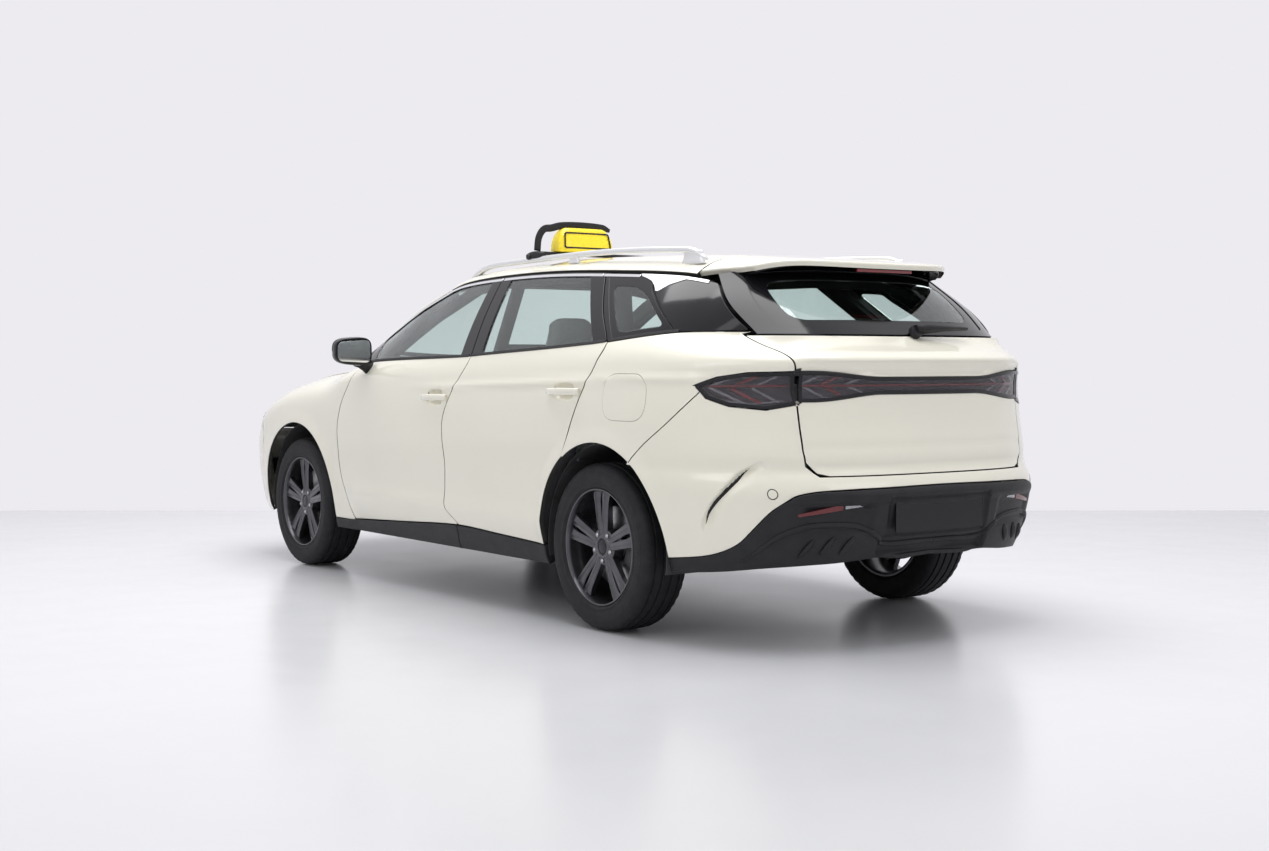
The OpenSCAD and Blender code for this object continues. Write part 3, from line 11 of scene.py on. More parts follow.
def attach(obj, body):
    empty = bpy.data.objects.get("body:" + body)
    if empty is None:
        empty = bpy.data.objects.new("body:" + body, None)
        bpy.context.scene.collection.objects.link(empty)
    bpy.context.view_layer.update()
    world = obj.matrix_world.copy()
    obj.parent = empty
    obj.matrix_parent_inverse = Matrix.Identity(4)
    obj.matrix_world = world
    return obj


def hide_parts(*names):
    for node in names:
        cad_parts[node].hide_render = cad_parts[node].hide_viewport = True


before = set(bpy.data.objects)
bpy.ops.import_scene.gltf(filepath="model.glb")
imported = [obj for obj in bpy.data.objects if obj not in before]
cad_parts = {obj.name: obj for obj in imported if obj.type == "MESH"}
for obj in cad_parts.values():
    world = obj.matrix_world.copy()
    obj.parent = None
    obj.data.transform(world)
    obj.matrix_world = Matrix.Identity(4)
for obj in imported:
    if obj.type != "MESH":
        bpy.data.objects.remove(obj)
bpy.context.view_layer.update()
scene = bpy.context.scene

# ---- The body's curves ---------------------------------------------------------------------------------------
# axles, wheel centre, tyre and rim; the curves below are rows of (place along, value), named for what they give
FRONT_X, REAR_X, WHEEL_Y, TYRE_R, RIM_R, TYRE_W = 1440, -1350, 795, 341, 238, 225
ARCH_R, ARCH_Z, REAR_ARCH = 421, 345, -1375
SECTION = [[180, 838], [215, 862], [290, 893], [350, 903], [420, 911], [520, 921], [650, 928], [780, 930],
           [900, 926], [1000, 915], [1080, 898], [1150, 876], [1210, 850]]
TAIL = [[180, -2180], [250, -2270], [320, -2315], [400, -2350], [500, -2378], [590, -2390], [640, -2378],
        [680, -2352], [740, -2350], [850, -2332], [975, -2322], [1040, -2330], [1085, -2342], [1110, -2325],
        [1150, -2250], [1200, -2170]]
NOSE_L = [[180, 2250], [250, 2325], [350, 2370], [450, 2388], [560, 2390], [640, 2386], [690, 2368],
          [742, 2335], [782, 2292], [822, 2232]]
BONNET = [[1000, 1085], [1300, 1066], [1500, 1042], [1700, 1005], [1900, 948], [2050, 894], [2150, 858],
          [2232, 822], [2292, 782], [2335, 742], [2368, 690], [2386, 640]]
BELT = [[-2025, 1204], [-1730, 1203], [-1238, 1160], [-400, 1117], [-225, 1109], [545, 1093], [850, 1078],
        [1195, 1028]]
BELT_HALF = [[-2100, 620], [-2025, 660], [-1732, 785], [-1445, 842], [-1055, 868], [-255, 880], [545, 858],
             [850, 815], [1195, 752]]
EDGE = [[-1815, 1405], [-1555, 1443], [-1045, 1474], [-655, 1487], [-275, 1484], [60, 1468], [215, 1440],
        [495, 1338], [945, 1130], [1195, 1030]]
EDGE_HALF = [[-1815, 610], [-1555, 632], [-1045, 650], [-275, 660], [215, 662], [495, 695], [945, 735], [1195, 750]]
ROOF = [[-2085, 1482], [-1955, 1500], [-1500, 1535], [-955, 1555], [-455, 1560], [0, 1548], [300, 1520]]
FRONT_LINE = [[180, 800], [290, 825], [500, 915], [650, 938], [765, 941], [880, 900], [990, 824], [1060, 800],
              [1110, 815]]
MIDDLE_LINE = [[180, -235], [345, -232], [415, -150], [520, -150], [620, -158], [740, -138], [830, -141],
               [930, -195], [1055, -296], [1115, -318], [1300, -285], [1490, -250]]
REAR_LINE = [[700, -1133], [738, -1151], [852, -1205], [960, -1262], [1050, -1318], [1090, -1336], [1165, -1350],
             [1300, -1215], [1475, -1057]]
BUMPER_LINE = [[640, -1560], [740, -1650], [850, -1800], [960, -1925], [1000, -1960]]
SILL = [[-1200, 305], [-1040, 311], [-600, 330], [-232, 343], [300, 318], [900, 287]]
BONNET_HALF = [[1000, 735], [1400, 735], [1700, 712], [1950, 655], [2130, 572], [2230, 503], [2290, 430], [2335, 360]]
LID_HALF = [[640, 560], [690, 582], [760, 592], [900, 598], [1050, 604], [1120, 622], [1200, 655]]


def curve(pts, t):
    """Smooth curve through points (t, value), flat beyond its ends."""
    p = np.asarray(pts, float)
    x, y = p[:, 0], p[:, 1]
    t = np.asarray(t, float)
    i = np.clip(np.searchsorted(x, t, side="right") - 1, 0, len(x) - 2)
    m = np.empty(len(x))
    m[1:-1] = (y[2:] - y[:-2]) / (x[2:] - x[:-2])
    m[0], m[-1] = (y[1] - y[0]) / (x[1] - x[0]), (y[-1] - y[-2]) / (x[-1] - x[-2])
    h = x[i + 1] - x[i]
    s = np.clip((t - x[i]) / h, 0, 1)
    return (y[i] * (1 + 2 * s) * (1 - s) ** 2 + m[i] * h * s * (1 - s) ** 2
            + y[i + 1] * s * s * (3 - 2 * s) - m[i + 1] * h * s * s * (1 - s))


def ease(t):
    s = np.clip(t, 0, 1)
    return s * s * (3 - 2 * s)


def round_end(u, p):
    return np.maximum(1 - np.clip(u, 0, 1) ** p, 0) ** (1 / p)


def belt_z(x): return curve(BELT, x)
def belt_y(x): return curve(BELT_HALF, x)
def edge_z(x): return curve(EDGE, x)
def edge_y(x): return curve(EDGE_HALF, x)
def bonnet_z(x): return curve(BONNET, x)
def tail_x(z): return curve(TAIL, z)
def nose_x(z): return curve(NOSE_L, z)
def side_w(z): return curve(SECTION, z)
def front_at(z): return curve(FRONT_LINE, z)
def middle_at(z): return curve(MIDDLE_LINE, z)
def rear_at(z): return curve(REAR_LINE, z)
def bumper_at(z): return curve(BUMPER_LINE, z)
def sill_z(x): return curve(SILL, x)
def glass_top(x): return edge_z(x) - 24
def bonnet_half(x): return curve(BONNET_HALF, x)
def lid_half(z): return curve(LID_HALF, z)
def bar_low(y): return 967 + (940 - 967) * ease((np.abs(y) - 250) / 300)
def bar_high(y): return 1032 + (1054 - 1032) * ease((np.abs(y) - 250) / 300)


def hull_y(x, z):
    return (side_w(z) * round_end((tail_x(z) + 950 - x) / 950, 2.9)
            * round_end((x - nose_x(np.minimum(z, 700)) + 800) / 800, 3.2))


def crown(x, z): return round_end((z - bonnet_z(x) + 260) / 260, 3.55)


def relief(x, z):
    """Pressed lines and wheel-arch flares, as a small shift outwards."""
    flare = 0
    for cx in (FRONT_X, REAR_ARCH):
        r = np.hypot(x - cx, z - ARCH_Z)
        flare = flare + 7 * (1 - ease((r - ARCH_R) / 75)) * ease((z - 250) / 200 + 0.3)
    door = ease((x + 1050) / 180) * ease((900 - x) / 140)
    low = np.where(z > 418, 12 * np.exp(-((z - 418) / 60) ** 2), 12 - (418 - np.minimum(z, 418)) * 0.22)
    ridge = 6 * np.exp(-((z - 1012 - (x + 1300) * -0.03) / 16) ** 2) * ease((300 - x) / 500) * ease((x + 2050) / 200)
    return flare + door * low + ridge


def door_side_y(x, z):
    s = np.clip((z - belt_z(x)) / 90 + 1, 0, 1)
    return hull_y(x, z) - (hull_y(x, belt_z(x)) - belt_y(x)) * s * s


def side_y(x, z):
    k = ease((x - 900) / 300)
    return door_side_y(x, z) * (1 - k) + hull_y(x, z) * crown(x, z) * k


def side(x, z):
    return np.stack([x, side_y(x, z) + relief(x, z), z], -1)


def window_y(x, z):
    t = np.clip((z - belt_z(x)) / np.maximum(edge_z(x) - belt_z(x), 1), -0.2, 1.2)
    return belt_y(x) + (edge_y(x) - belt_y(x)) * t + 14 * 4 * t * (1 - t)


def glasshouse(x, z):
    return np.stack([x, window_y(x, z), z], -1)


def bonnet_top(x, y):
    return bonnet_z(x) - 260 * (1 - round_end(np.abs(y) / hull_y(x, bonnet_z(x) - 156), 3.55))


def roof_top(x, y):
    c = curve(ROOF, x)
    return c - (c - edge_z(np.maximum(x, -1815))) * np.minimum(np.abs(y) / edge_y(x), 1.02) ** 6


def roof(x, y): return np.stack([x, y, roof_top(x, y)], -1)


def contour(a, b, p):
    """Plan outline of a rounded end: run along it in mm against the share of its length and width."""
    t = ease(np.linspace(0, 1, 6001)) * np.pi / 2
    x, y = 1 - np.cos(t) ** (2 / p), np.sin(t) ** (2 / p)
    s = np.concatenate([[0], np.cumsum(np.hypot(a * np.diff(x), b * np.diff(y)))])
    return s, x, y


TAIL_RUN, NOSE_RUN = contour(950, 915, 2.9), contour(800, 905, 3.2)


def wrapped(q, z, run, end, sign, reach):
    """Point on the wrapped tail or nose; q runs from the centre line round the corner and on along the side."""
    s, ux, uy = run
    k = np.abs(q)
    x = np.interp(k, s, ux) * reach + np.maximum(k - s[-1], 0)
    y = side_w(z) * np.interp(k, s, uy) * np.sign(q)
    return end - sign * x, y


def tail(q, z):
    x, y = wrapped(q, z, TAIL_RUN, tail_x(z), -1, 950)
    inner = ease((620 - np.abs(y)) / 40)
    dent = 4 * np.exp(-((z - 762) / 22) ** 2) * inner
    band = 7 * ease((z - 1030) / 16) * ease((1098 - z) / 22) * ease((640 - np.abs(y)) / 90)
    tuck_at = np.clip((z - belt_z(x)) / 90 + 1, 0, 1) ** 2 * ease((x + 2200) / 110)
    tuck = (hull_y(x, belt_z(x)) - belt_y(x)) * tuck_at
    out = relief(x, z) * ease((x + 2250) / 150)
    k = np.abs(q)
    line = 803 + (1 - ((z - 480) / 212) ** 2) * 196
    near = ease((z - 440) / 60) * ease((730 - z) / 50)
    pocket = 16 * near * np.where(k < line, np.exp(-((line - k) / 34) ** 2), np.exp(-((k - line) / 9) ** 2))
    x = x + pocket * 0.8
    out = out - pocket
    return np.stack([x + dent + band, np.sign(y) * (np.abs(y) - tuck + out), z], -1)


def tail_q(y, z):
    return np.interp(np.clip(np.abs(y) / side_w(z), 0, 1), TAIL_RUN[2], TAIL_RUN[0])


def tail_qx(x, z):
    d = x - tail_x(z)
    return np.interp(np.clip(d / 950, 0, 1), TAIL_RUN[1], TAIL_RUN[0]) + np.maximum(d - 950, 0)


def nose(q, z):
    x, y = wrapped(q, z, NOSE_RUN, nose_x(z), 1, 800)
    return np.stack([x, y + np.sign(y) * relief(x, z) * ease((2150 - x) / 150), z], -1)


def nose_q(y, z):
    return np.interp(np.clip(np.abs(y) / side_w(z), 0, 1), NOSE_RUN[2], NOSE_RUN[0])


def nose_qx(x, z):
    d = nose_x(z) - x
    return np.interp(np.clip(d / 800, 0, 1), NOSE_RUN[1], NOSE_RUN[0]) + np.maximum(d - 800, 0)


U = 1000.0  # the glass surfaces take their parameters in thousandths


def screen(t, s):
    """Windscreen; t and s in thousandths."""
    t, s = t / U, s / U
    x = 925 + (262 - 925) * s
    k = 1 - t * t
    e = [x, edge_y(x) - 16, edge_z(x) + 2]
    m = [1120 + (372 - 1120) * s, 0, 1098 + (1515 - 1098) * s + 70 * s * (1 - s)]
    return np.stack([e[0] + (m[0] - e[0]) * k, e[1] * t, e[2] + (m[2] - e[2]) * k], -1)


def rear(t, s):
    """Upper tail under the spoiler; t and s in thousandths."""
    t, s = t / U, s / U
    e = [-2045 + 306 * s, curve([[0, 652], [0.5, 666], [1, 598]], s), 1193 + 245 * s]
    m = [-2186 + 324 * s, 0, 1193 + 283 * s]
    k = 1 - np.abs(t) ** 3.2
    return np.stack([e[0] + (m[0] - e[0]) * k, e[1] * t, e[2] + (m[2] - e[2]) * k], -1)


# ---- Meshes --------------------------------------------------------------------------------------------------
def inside(points, loops):
    """Even-odd test of points against closed loops."""
    hit = np.zeros(len(points), bool)
    px, py = points[:, 0], points[:, 1]
    for lp in loops:
        a, b = lp, np.roll(lp, -1, 0)
        for (x0, y0), (x1, y1) in zip(a, b):
            if y0 == y1:
                continue
            m = (py > min(y0, y1)) & (py <= max(y0, y1))
            if m.any():
                xi = x0 + (py[m] - y0) * (x1 - x0) / (y1 - y0)
                idx = np.flatnonzero(m)[xi > px[m]]
                hit[idx] = ~hit[idx]
    return hit


def resample(loop, step):
    out = []
    for a, b in zip(loop, np.roll(loop, -1, 0)):
        n = max(1, int(math.ceil(np.hypot(*(b - a)) / step)))
        out += [a + (b - a) * k / n for k in range(n)]
    return np.array(out)


def area_of(loop):
    x, y = loop[:, 0], loop[:, 1]
    return 0.5 * np.sum(x * np.roll(y, -1) - np.roll(x, -1) * y)


def outward(loop):
    """Unit normals in the plane, pointing out of a counter-clockwise loop."""
    d = np.roll(loop, -1, 0) - np.roll(loop, 1, 0)
    n = np.stack([d[:, 1], -d[:, 0]], -1)
    return n / np.maximum(np.linalg.norm(n, axis=1), 1e-9)[:, None]


def rounded(loop, r, n=5):
    """Rounds the corners of a polygon."""
    loop = np.asarray(loop, float)
    out = []
    for a, b, c in zip(np.roll(loop, 1, 0), loop, np.roll(loop, -1, 0)):
        u, v = a - b, c - b
        lu, lv = np.linalg.norm(u), np.linalg.norm(v)
        k = min(r, lu * 0.45, lv * 0.45)
        p, q = b + u / lu * k, b + v / lv * k
        for t in np.linspace(0, 1, n):
            out.append((1 - t) ** 2 * p + 2 * t * (1 - t) * b + t * t * q)
    return np.array(out)


def surface_normals(S, uv, out_from):
    e = 4.0
    u, v = uv[:, 0], uv[:, 1]
    n = np.cross(S(u + e, v) - S(u - e, v), S(u, v + e) - S(u, v - e))
    n /= np.maximum(np.linalg.norm(n, axis=1), 1e-9)[:, None]
    p = S(u, v)
    c = np.array(out_from, float) if out_from is not None else np.stack(
        [np.clip(p[:, 0], -1400, 1400), 0 * p[:, 0], 0 * p[:, 0] + 800], -1)
    return n * (1 if np.sum(n * (p - c)) > 0 else -1)


def build(name, verts, faces, normals=None, smooth=True):
    me = bpy.data.meshes.new(name)
    me.from_pydata([tuple(v) for v in np.asarray(verts, float) * 0.001], [], faces)
    if smooth:
        me.polygons.foreach_set("use_smooth", [True] * len(me.polygons))
    if normals is not None:
        me.normals_split_custom_set_from_vertices([tuple(n) for n in normals])
    me.update()
    ob = bpy.data.objects.new(name, me)
    bpy.context.collection.objects.link(ob)
    return ob


def flip(verts, faces, normals=None):
    v = np.asarray(verts, float) * [1, -1, 1]
    f = [type(q)(reversed(q)) if isinstance(q, tuple) else tuple(reversed(q)) for q in faces]
    return (v, f) if normals is None else (v, f, np.asarray(normals) * [1, -1, 1])


def other_hand(name):
    return name.replace("left", "right")


def tube(m, n, closed=False):
    """Faces between m stations of n points; closed joins the last station to the first."""
    return [(i * n + j, i * n + (j + 1) % n, (i + 1) % m * n + (j + 1) % n, (i + 1) % m * n + j)
            for i in range(m if closed else m - 1) for j in range(n)]


def capped(m, n, turn=1):
    """A tube with both ends filled; turn is -1 where the stations run the other way."""
    return tube(m, n) + [tuple(range(n))[::-turn], tuple((m - 1) * n + j for j in range(n))[::turn]]


def face_out(ob, weld=0):
    """Turns the faces outwards, after joining points closer than `weld` metres."""
    bm = bmesh.new()
    bm.from_mesh(ob.data)
    if weld:
        bmesh.ops.remove_doubles(bm, verts=bm.verts, dist=weld)
    bmesh.ops.recalc_face_normals(bm, faces=bm.faces)
    bm.to_mesh(ob.data)
    bm.free()


class Wall(tuple):
    """Face of a panel's deep edge."""


def panel_mesh(S, outline, holes=(), step=30, depth=14, edge=1.6, lift=0.0, out_from=None, back=False,
               fine=()):
    """A pressed panel: the surface inside an outline, with a rolled edge down to `depth`."""
    loops = []
    for k, lp in enumerate([outline, *holes]):
        lp = resample(np.asarray(lp, float), step * 0.5)
        if (area_of(lp) > 0) != (k == 0):
            lp = lp[::-1]
        n = outward(lp)
        loops.append((lp, n, lp - n * edge))
    flat = [q[2] for q in loops]
    lo, hi = flat[0].min(0), flat[0].max(0)
    gx = np.arange(lo[0] + step / 2, hi[0], step)
    gy = np.arange(lo[1] + step / 2, hi[1], step)
    grid = np.stack(np.meshgrid(gx, gy), -1).reshape(-1, 2)
    for x0, x1, y0, y1, st in fine:
        inner = (grid[:, 0] > x0) & (grid[:, 0] < x1) & (grid[:, 1] > y0) & (grid[:, 1] < y1)
        extra = np.stack(np.meshgrid(np.arange(x0, x1 + 0.1, st), np.arange(y0, y1 + 0.1, st)), -1).reshape(-1, 2)
        grid = np.concatenate([grid[~inner], extra])
    if len(grid):
        grid = grid[inside(grid, flat)]
    allb = np.concatenate(flat)
    if len(grid):
        d = np.full(len(grid), 1e9)
        for k in range(0, len(allb), 400):
            d = np.minimum(d, np.min(np.linalg.norm(grid[:, None] - allb[None, k:k + 400], axis=2), axis=1))
        grid = grid[d > min([step] + [f[4] for f in fine]) * 0.42]
    pts = np.concatenate([allb, grid]) if len(grid) else allb
    edges, base = [], 0
    for f in flat:
        edges += [(base + i, base + (i + 1) % len(f)) for i in range(len(f))]
        base += len(f)
    res = delaunay_2d_cdt([Vector(p) for p in pts], edges, [], 0, 1e-6)
    uv = np.array([tuple(p) for p in res[0]])
    tri = np.array([f for f in res[2] if len(f) == 3])
    tri = tri[inside(uv[tri].mean(1), flat)]
    verts, normals, faces = [], [], []
    nrm = surface_normals(S, uv, out_from)
    P = S(uv[:, 0], uv[:, 1]) + nrm * lift
    a, b, c = P[tri[:, 0]], P[tri[:, 1]], P[tri[:, 2]]
    facing = np.sum(np.cross(b - a, c - a) * nrm[tri[:, 0]], axis=1)
    tri = np.where((facing < 0)[:, None], tri[:, ::-1], tri)
    verts.append(P)
    normals.append(nrm)
    faces += [tuple(int(i) for i in t) for t in tri]
    base = len(P)
    for lp, n, ring in loops:
        m = len(lp)
        N = surface_normals(S, ring, out_from)
        e = 0.5
        T = S(ring[:, 0] + n[:, 0] * e, ring[:, 1] + n[:, 1] * e) - S(ring[:, 0] - n[:, 0] * e,
                                                                      ring[:, 1] - n[:, 1] * e)
        T -= np.sum(T * N, 1)[:, None] * N
        T /= np.maximum(np.linalg.norm(T, axis=1), 1e-9)[:, None]
        Q = S(ring[:, 0], ring[:, 1]) + N * lift
        start = base
        rings = [(0, 0, 0)] + [(edge * math.sin(t), edge * (1 - math.cos(t)), t) for t in (math.pi / 6, math.pi / 3,
                math.pi / 2)]
        rings.append((edge, depth, math.pi / 2))
        for off, dep, t in rings:
            verts.append(Q + T * off - N * dep)
            normals.append(N * math.cos(t) + T * math.sin(t))
            base += m
        for k in range(len(rings) - 1):
            for i in range(m):
                j = (i + 1) % m
                q = (start + k * m + i, start + (k + 1) * m + i, start + (k + 1) * m + j, start + k * m + j)
                faces.append(Wall(q) if k == len(rings) - 2 else q)
    verts, normals = np.concatenate(verts), np.concatenate(normals)
    # wind the rim like its normals
    f4 = np.array([f for f in faces if len(f) == 4])
    if len(f4):
        c = np.cross(verts[f4[:, 1]] - verts[f4[:, 0]], verts[f4[:, 2]] - verts[f4[:, 0]])
        if np.sum(c * normals[f4[:, 0]]) < 0:
            faces = [f if len(f) == 3 else type(f)(reversed(f)) for f in faces]
    if back:
        count = len(P)
        verts = np.concatenate([verts, P - nrm * depth])
        normals = np.concatenate([normals, -nrm])
        off = len(verts) - count
        faces += [tuple(int(i) + off for i in reversed(t)) for t in tri.tolist()]
    return verts, faces, normals


def finish_piece(ob, body, mat, replaces=()):
    ob.data.materials.append(mat)
    # painted panels get the near-black gap material on their deep edge walls: painted shade in the shut lines, where
    # the real edges are ivory
    if mat is PAINT and "walls" in ob.data:
        ob.data.materials.append(GAP_SHADE)
        ids = np.zeros(len(ob.data.polygons), np.int32)
        ids[np.array(ob.data["walls"], int)] = 1
        ob.data.polygons.foreach_set("material_index", ids)
    if "walls" in ob.data:
        del ob.data["walls"]
    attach(ob, body)
    if replaces:
        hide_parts(*replaces)
    return ob


def wall_ids(faces):
    """Faces of the deep edge walls: the last ring of each rim."""
    return [i for i, f in enumerate(faces) if len(f) == 4 and isinstance(f, Wall)]


def walled(ob, ids):
    ob.data["walls"] = ids
    return ob


def panel(name, body, slot, mat, S, outline, replaces=(), sides=1, **kw):
    """One panel, or a left and a right one from the same outline (sides=2). Bodies and nodes name the left."""
    data = panel_mesh(S, outline, **kw)
    walls = wall_ids(data[1])
    obs = [finish_piece(walled(build(name, *data), walls), body, mat, replaces)]
    if sides == 2:
        other = other_hand(name) if "left" in name else name + "_right"
        obs.append(finish_piece(walled(build(other, *flip(*data)), walls), other_hand(body), mat,
                                tuple(other_hand(r) for r in replaces)))
    return obs


def sweep(name, body, slot, mat, path, prof, up=(0, 0, 1), sides=1, replaces=(), scale=None):
    """Profile (closed, 2-D: across, up) carried along a path of points."""
    path, prof = np.asarray(path, float), np.asarray(prof, float)
    m, n = len(path), len(prof)
    tan = np.gradient(path, axis=0)
    tan /= np.linalg.norm(tan, axis=1)[:, None]
    a = np.cross(np.asarray(up, float), tan)
    a /= np.maximum(np.linalg.norm(a, axis=1), 1e-9)[:, None]
    b = np.cross(tan, a)
    k = np.ones(m) if scale is None else np.asarray(scale, float)
    v = (path[:, None] + a[:, None] * prof[None, :, :1] * k[:, None, None] + b[:, None] * prof[None, :, 1:] * k[:,
            None, None]).reshape(-1, 3)
    f = capped(m, n)
    out = [finish_piece(build(name, v, f), body, mat, replaces)]
    if sides == 2:
        nm = other_hand(name) if "left" in name else name + "_right"
        out.append(finish_piece(build(nm, *flip(v, f)), other_hand(body), mat,
                                tuple(other_hand(r) for r in replaces)))
    for o in out:
        face_out(o)
        o.data.polygons.foreach_set("use_smooth", [len(p.vertices) == 4 for p in o.data.polygons])
    return out


def pow_of(a, p): return np.sign(a) * np.abs(a) ** (2 / p)


def oval(a, b, n=16, p=2.6, tilt=0):
    t = np.linspace(0, 2 * np.pi, n, endpoint=False)
    x, y = a * pow_of(np.cos(t), p), b * pow_of(np.sin(t), p)
    c, s = math.cos(tilt), math.sin(tilt)
    return np.stack([x * c - y * s, x * s + y * c], -1)


# ---- Materials -----------------------------------------------------------------------------------------------
def material(name, color, rough=0.4, metal=0.0, vary=0.05, scale=6.0, rough_vary=0.06, bump=0.0, bump_scale=300.0,
             streak=None, kind="NOISE", **sockets):
    m = bpy.data.materials.new(name)
    m.use_nodes = True
    nt = m.node_tree
    bs = nt.nodes["Principled BSDF"]
    tc = nt.nodes.new("ShaderNodeTexCoord")
    src = tc.outputs["Object"]
    if streak:
        mp = nt.nodes.new("ShaderNodeMapping")
        mp.inputs["Scale"].default_value = streak
        nt.links.new(src, mp.inputs["Vector"])
        src = mp.outputs["Vector"]
    n1 = nt.nodes.new("ShaderNodeTexNoise")
    n1.inputs["Scale"].default_value = scale
    n1.inputs["Detail"].default_value = 5
    nt.links.new(src, n1.inputs["Vector"])
    ramp = nt.nodes.new("ShaderNodeValToRGB")
    c = np.array(color[:3])
    ramp.color_ramp.elements[0].position, ramp.color_ramp.elements[1].position = 0.3, 0.7
    ramp.color_ramp.elements[0].color = (*np.clip(c * (1 - vary), 0, 1), 1)
    ramp.color_ramp.elements[1].color = (*np.clip(c * (1 + vary), 0, 1), 1)
    nt.links.new(n1.outputs["Fac"], ramp.inputs["Fac"])
    nt.links.new(ramp.outputs["Color"], bs.inputs["Base Color"])
    mr = nt.nodes.new("ShaderNodeMapRange")
    mr.inputs["To Min"].default_value = max(0, rough - rough_vary)
    mr.inputs["To Max"].default_value = min(1, rough + rough_vary)
    n2 = nt.nodes.new("ShaderNodeTexNoise")
    n2.inputs["Scale"].default_value = scale * 4.3
    n2.inputs["Detail"].default_value = 3
    nt.links.new(src, n2.inputs["Vector"])
    nt.links.new(n2.outputs["Fac"], mr.inputs["Value"])
    nt.links.new(mr.outputs["Result"], bs.inputs["Roughness"])
    bs.inputs["Metallic"].default_value = metal
    if bump:
        if kind == "VORONOI":
            n3 = nt.nodes.new("ShaderNodeTexVoronoi")
            out = n3.outputs["Distance"]
        elif kind == "WAVE":
            n3 = nt.nodes.new("ShaderNodeTexWave")
            n3.inputs["Distortion"].default_value = 1.5
            out = n3.outputs["Fac"]
        else:
            n3 = nt.nodes.new("ShaderNodeTexNoise")
            n3.inputs["Detail"].default_value = 4
            out = n3.outputs["Fac"]
        n3.inputs["Scale"].default_value = bump_scale
        nt.links.new(tc.outputs["Object"], n3.inputs["Vector"])
        bp = nt.nodes.new("ShaderNodeBump")
        bp.inputs["Strength"].default_value = 0.6
        bp.inputs["Distance"].default_value = bump
        nt.links.new(out, bp.inputs["Height"])
        nt.links.new(bp.outputs["Normal"], bs.inputs["Normal"])
    for k, v in sockets.items():
        bs.inputs[k.replace("_", " ")].default_value = v
    return m


PAINT = material("ivory_paint", (0.83, 0.80, 0.685), 0.34, vary=0.012, scale=2.5, rough_vary=0.03, bump=0.00002,
                 bump_scale=900, Coat_Weight=1.0, Coat_Roughness=0.03, Coat_IOR=1.5)
# near-black for the deep edge walls of painted panels: painted shade in the shut lines
GAP_SHADE = material("painted_gap_shade", (0.03, 0.029, 0.026), 0.8, vary=0.1, scale=20)
BLACK = material("black_plastic", (0.016, 0.016, 0.018), 0.5, vary=0.18, scale=14, rough_vary=0.08, bump=0.00025,
                 bump_scale=1400, Specular_IOR_Level=0.28)
GLOSS = material("gloss_black", (0.008, 0.008, 0.010), 0.10, vary=0.1, scale=5, rough_vary=0.03, Coat_Weight=0.1,
                 Coat_Roughness=0.03, Specular_IOR_Level=0.3)
RUBBER = material("rubber_seal", (0.014, 0.014, 0.015), 0.62, vary=0.15, scale=30, rough_vary=0.08, bump=0.0002,
                  bump_scale=1800)
TYRE = material("tyre_rubber", (0.017, 0.017, 0.019), 0.62, vary=0.22, scale=22, rough_vary=0.1, bump=0.0004,
                bump_scale=700, Specular_IOR_Level=0.25)
ALLOY = material("rim_paint", (0.085, 0.086, 0.094), 0.3, metal=0.85, vary=0.14, scale=18, rough_vary=0.06,
                 bump=0.00003, bump_scale=2200, Coat_Weight=0.35, Coat_Roughness=0.12)
STEEL = material("brake_steel", (0.42, 0.42, 0.43), 0.34, metal=1.0, vary=0.16, scale=30, rough_vary=0.12)
CAST = material("cast_metal", (0.11, 0.11, 0.115), 0.55, metal=0.6, vary=0.3, scale=16, rough_vary=0.12,
                bump=0.0008, bump_scale=420)
UNDER = material("underbody_coat", (0.035, 0.035, 0.037), 0.7, vary=0.25, scale=9, rough_vary=0.1, bump=0.0008,
                 bump_scale=260)
CHROME = material("bright_trim", (0.86, 0.87, 0.88), 0.09, metal=1.0, vary=0.02, scale=12, rough_vary=0.03)
SATIN = material("rail_satin", (0.80, 0.805, 0.81), 0.32, metal=0.7, vary=0.03, scale=40, rough_vary=0.05,
                 streak=(1.0, 30.0, 30.0))
GLASS = material("clear_glass", (0.80, 0.90, 0.87), 0.01, vary=0.01, scale=3, rough_vary=0.008,
                 Transmission_Weight=1.0,
                 IOR=1.45)
SMOKE = material("smoked_lens", (0.66, 0.64, 0.66), 0.03, vary=0.02, scale=8, rough_vary=0.02,
                 Transmission_Weight=0.97,
                 IOR=1.24)
LENS = material("clear_lens", (0.93, 0.95, 0.97), 0.02, vary=0.01, scale=8, rough_vary=0.01, Transmission_Weight=1.0,
                IOR=1.49)
RED = material("lamp_red", (0.26, 0.012, 0.016), 0.16, vary=0.12, scale=25, rough_vary=0.05, bump=0.0005,
               bump_scale=260, kind="VORONOI", Coat_Weight=0.7)
REFLEX = material("reflex_red", (0.13, 0.009, 0.012), 0.15, vary=0.1, scale=40, rough_vary=0.05, bump=0.0009,
                  bump_scale=380, kind="VORONOI", Coat_Weight=0.2)
CLEAR = material("lamp_white", (0.30, 0.305, 0.315), 0.14, metal=0.7, vary=0.06, scale=30, rough_vary=0.05,
                 bump=0.0006,
                 bump_scale=320, kind="VORONOI", Coat_Weight=0.8)
YELLOW = material("sign_yellow", (0.93, 0.72, 0.02), 0.28, vary=0.03, scale=8, rough_vary=0.04, Coat_Weight=0.3,
                  Subsurface_Weight=0.12, Subsurface_Radius=(0.02, 0.015, 0.004))
SEAT = material("seat_cloth", (0.40, 0.40, 0.385), 0.82, vary=0.1, scale=60, rough_vary=0.06, bump=0.0010,
                bump_scale=620, kind="VORONOI", Sheen_Weight=0.35, Sheen_Roughness=0.5)
DASH = material("dash_plastic", (0.045, 0.045, 0.048), 0.6, vary=0.12, scale=12, rough_vary=0.06, bump=0.0006,
                bump_scale=900)
LINING = material("headlining", (0.50, 0.50, 0.48), 0.9, vary=0.06, scale=80, rough_vary=0.04, bump=0.001,
                  bump_scale=500)
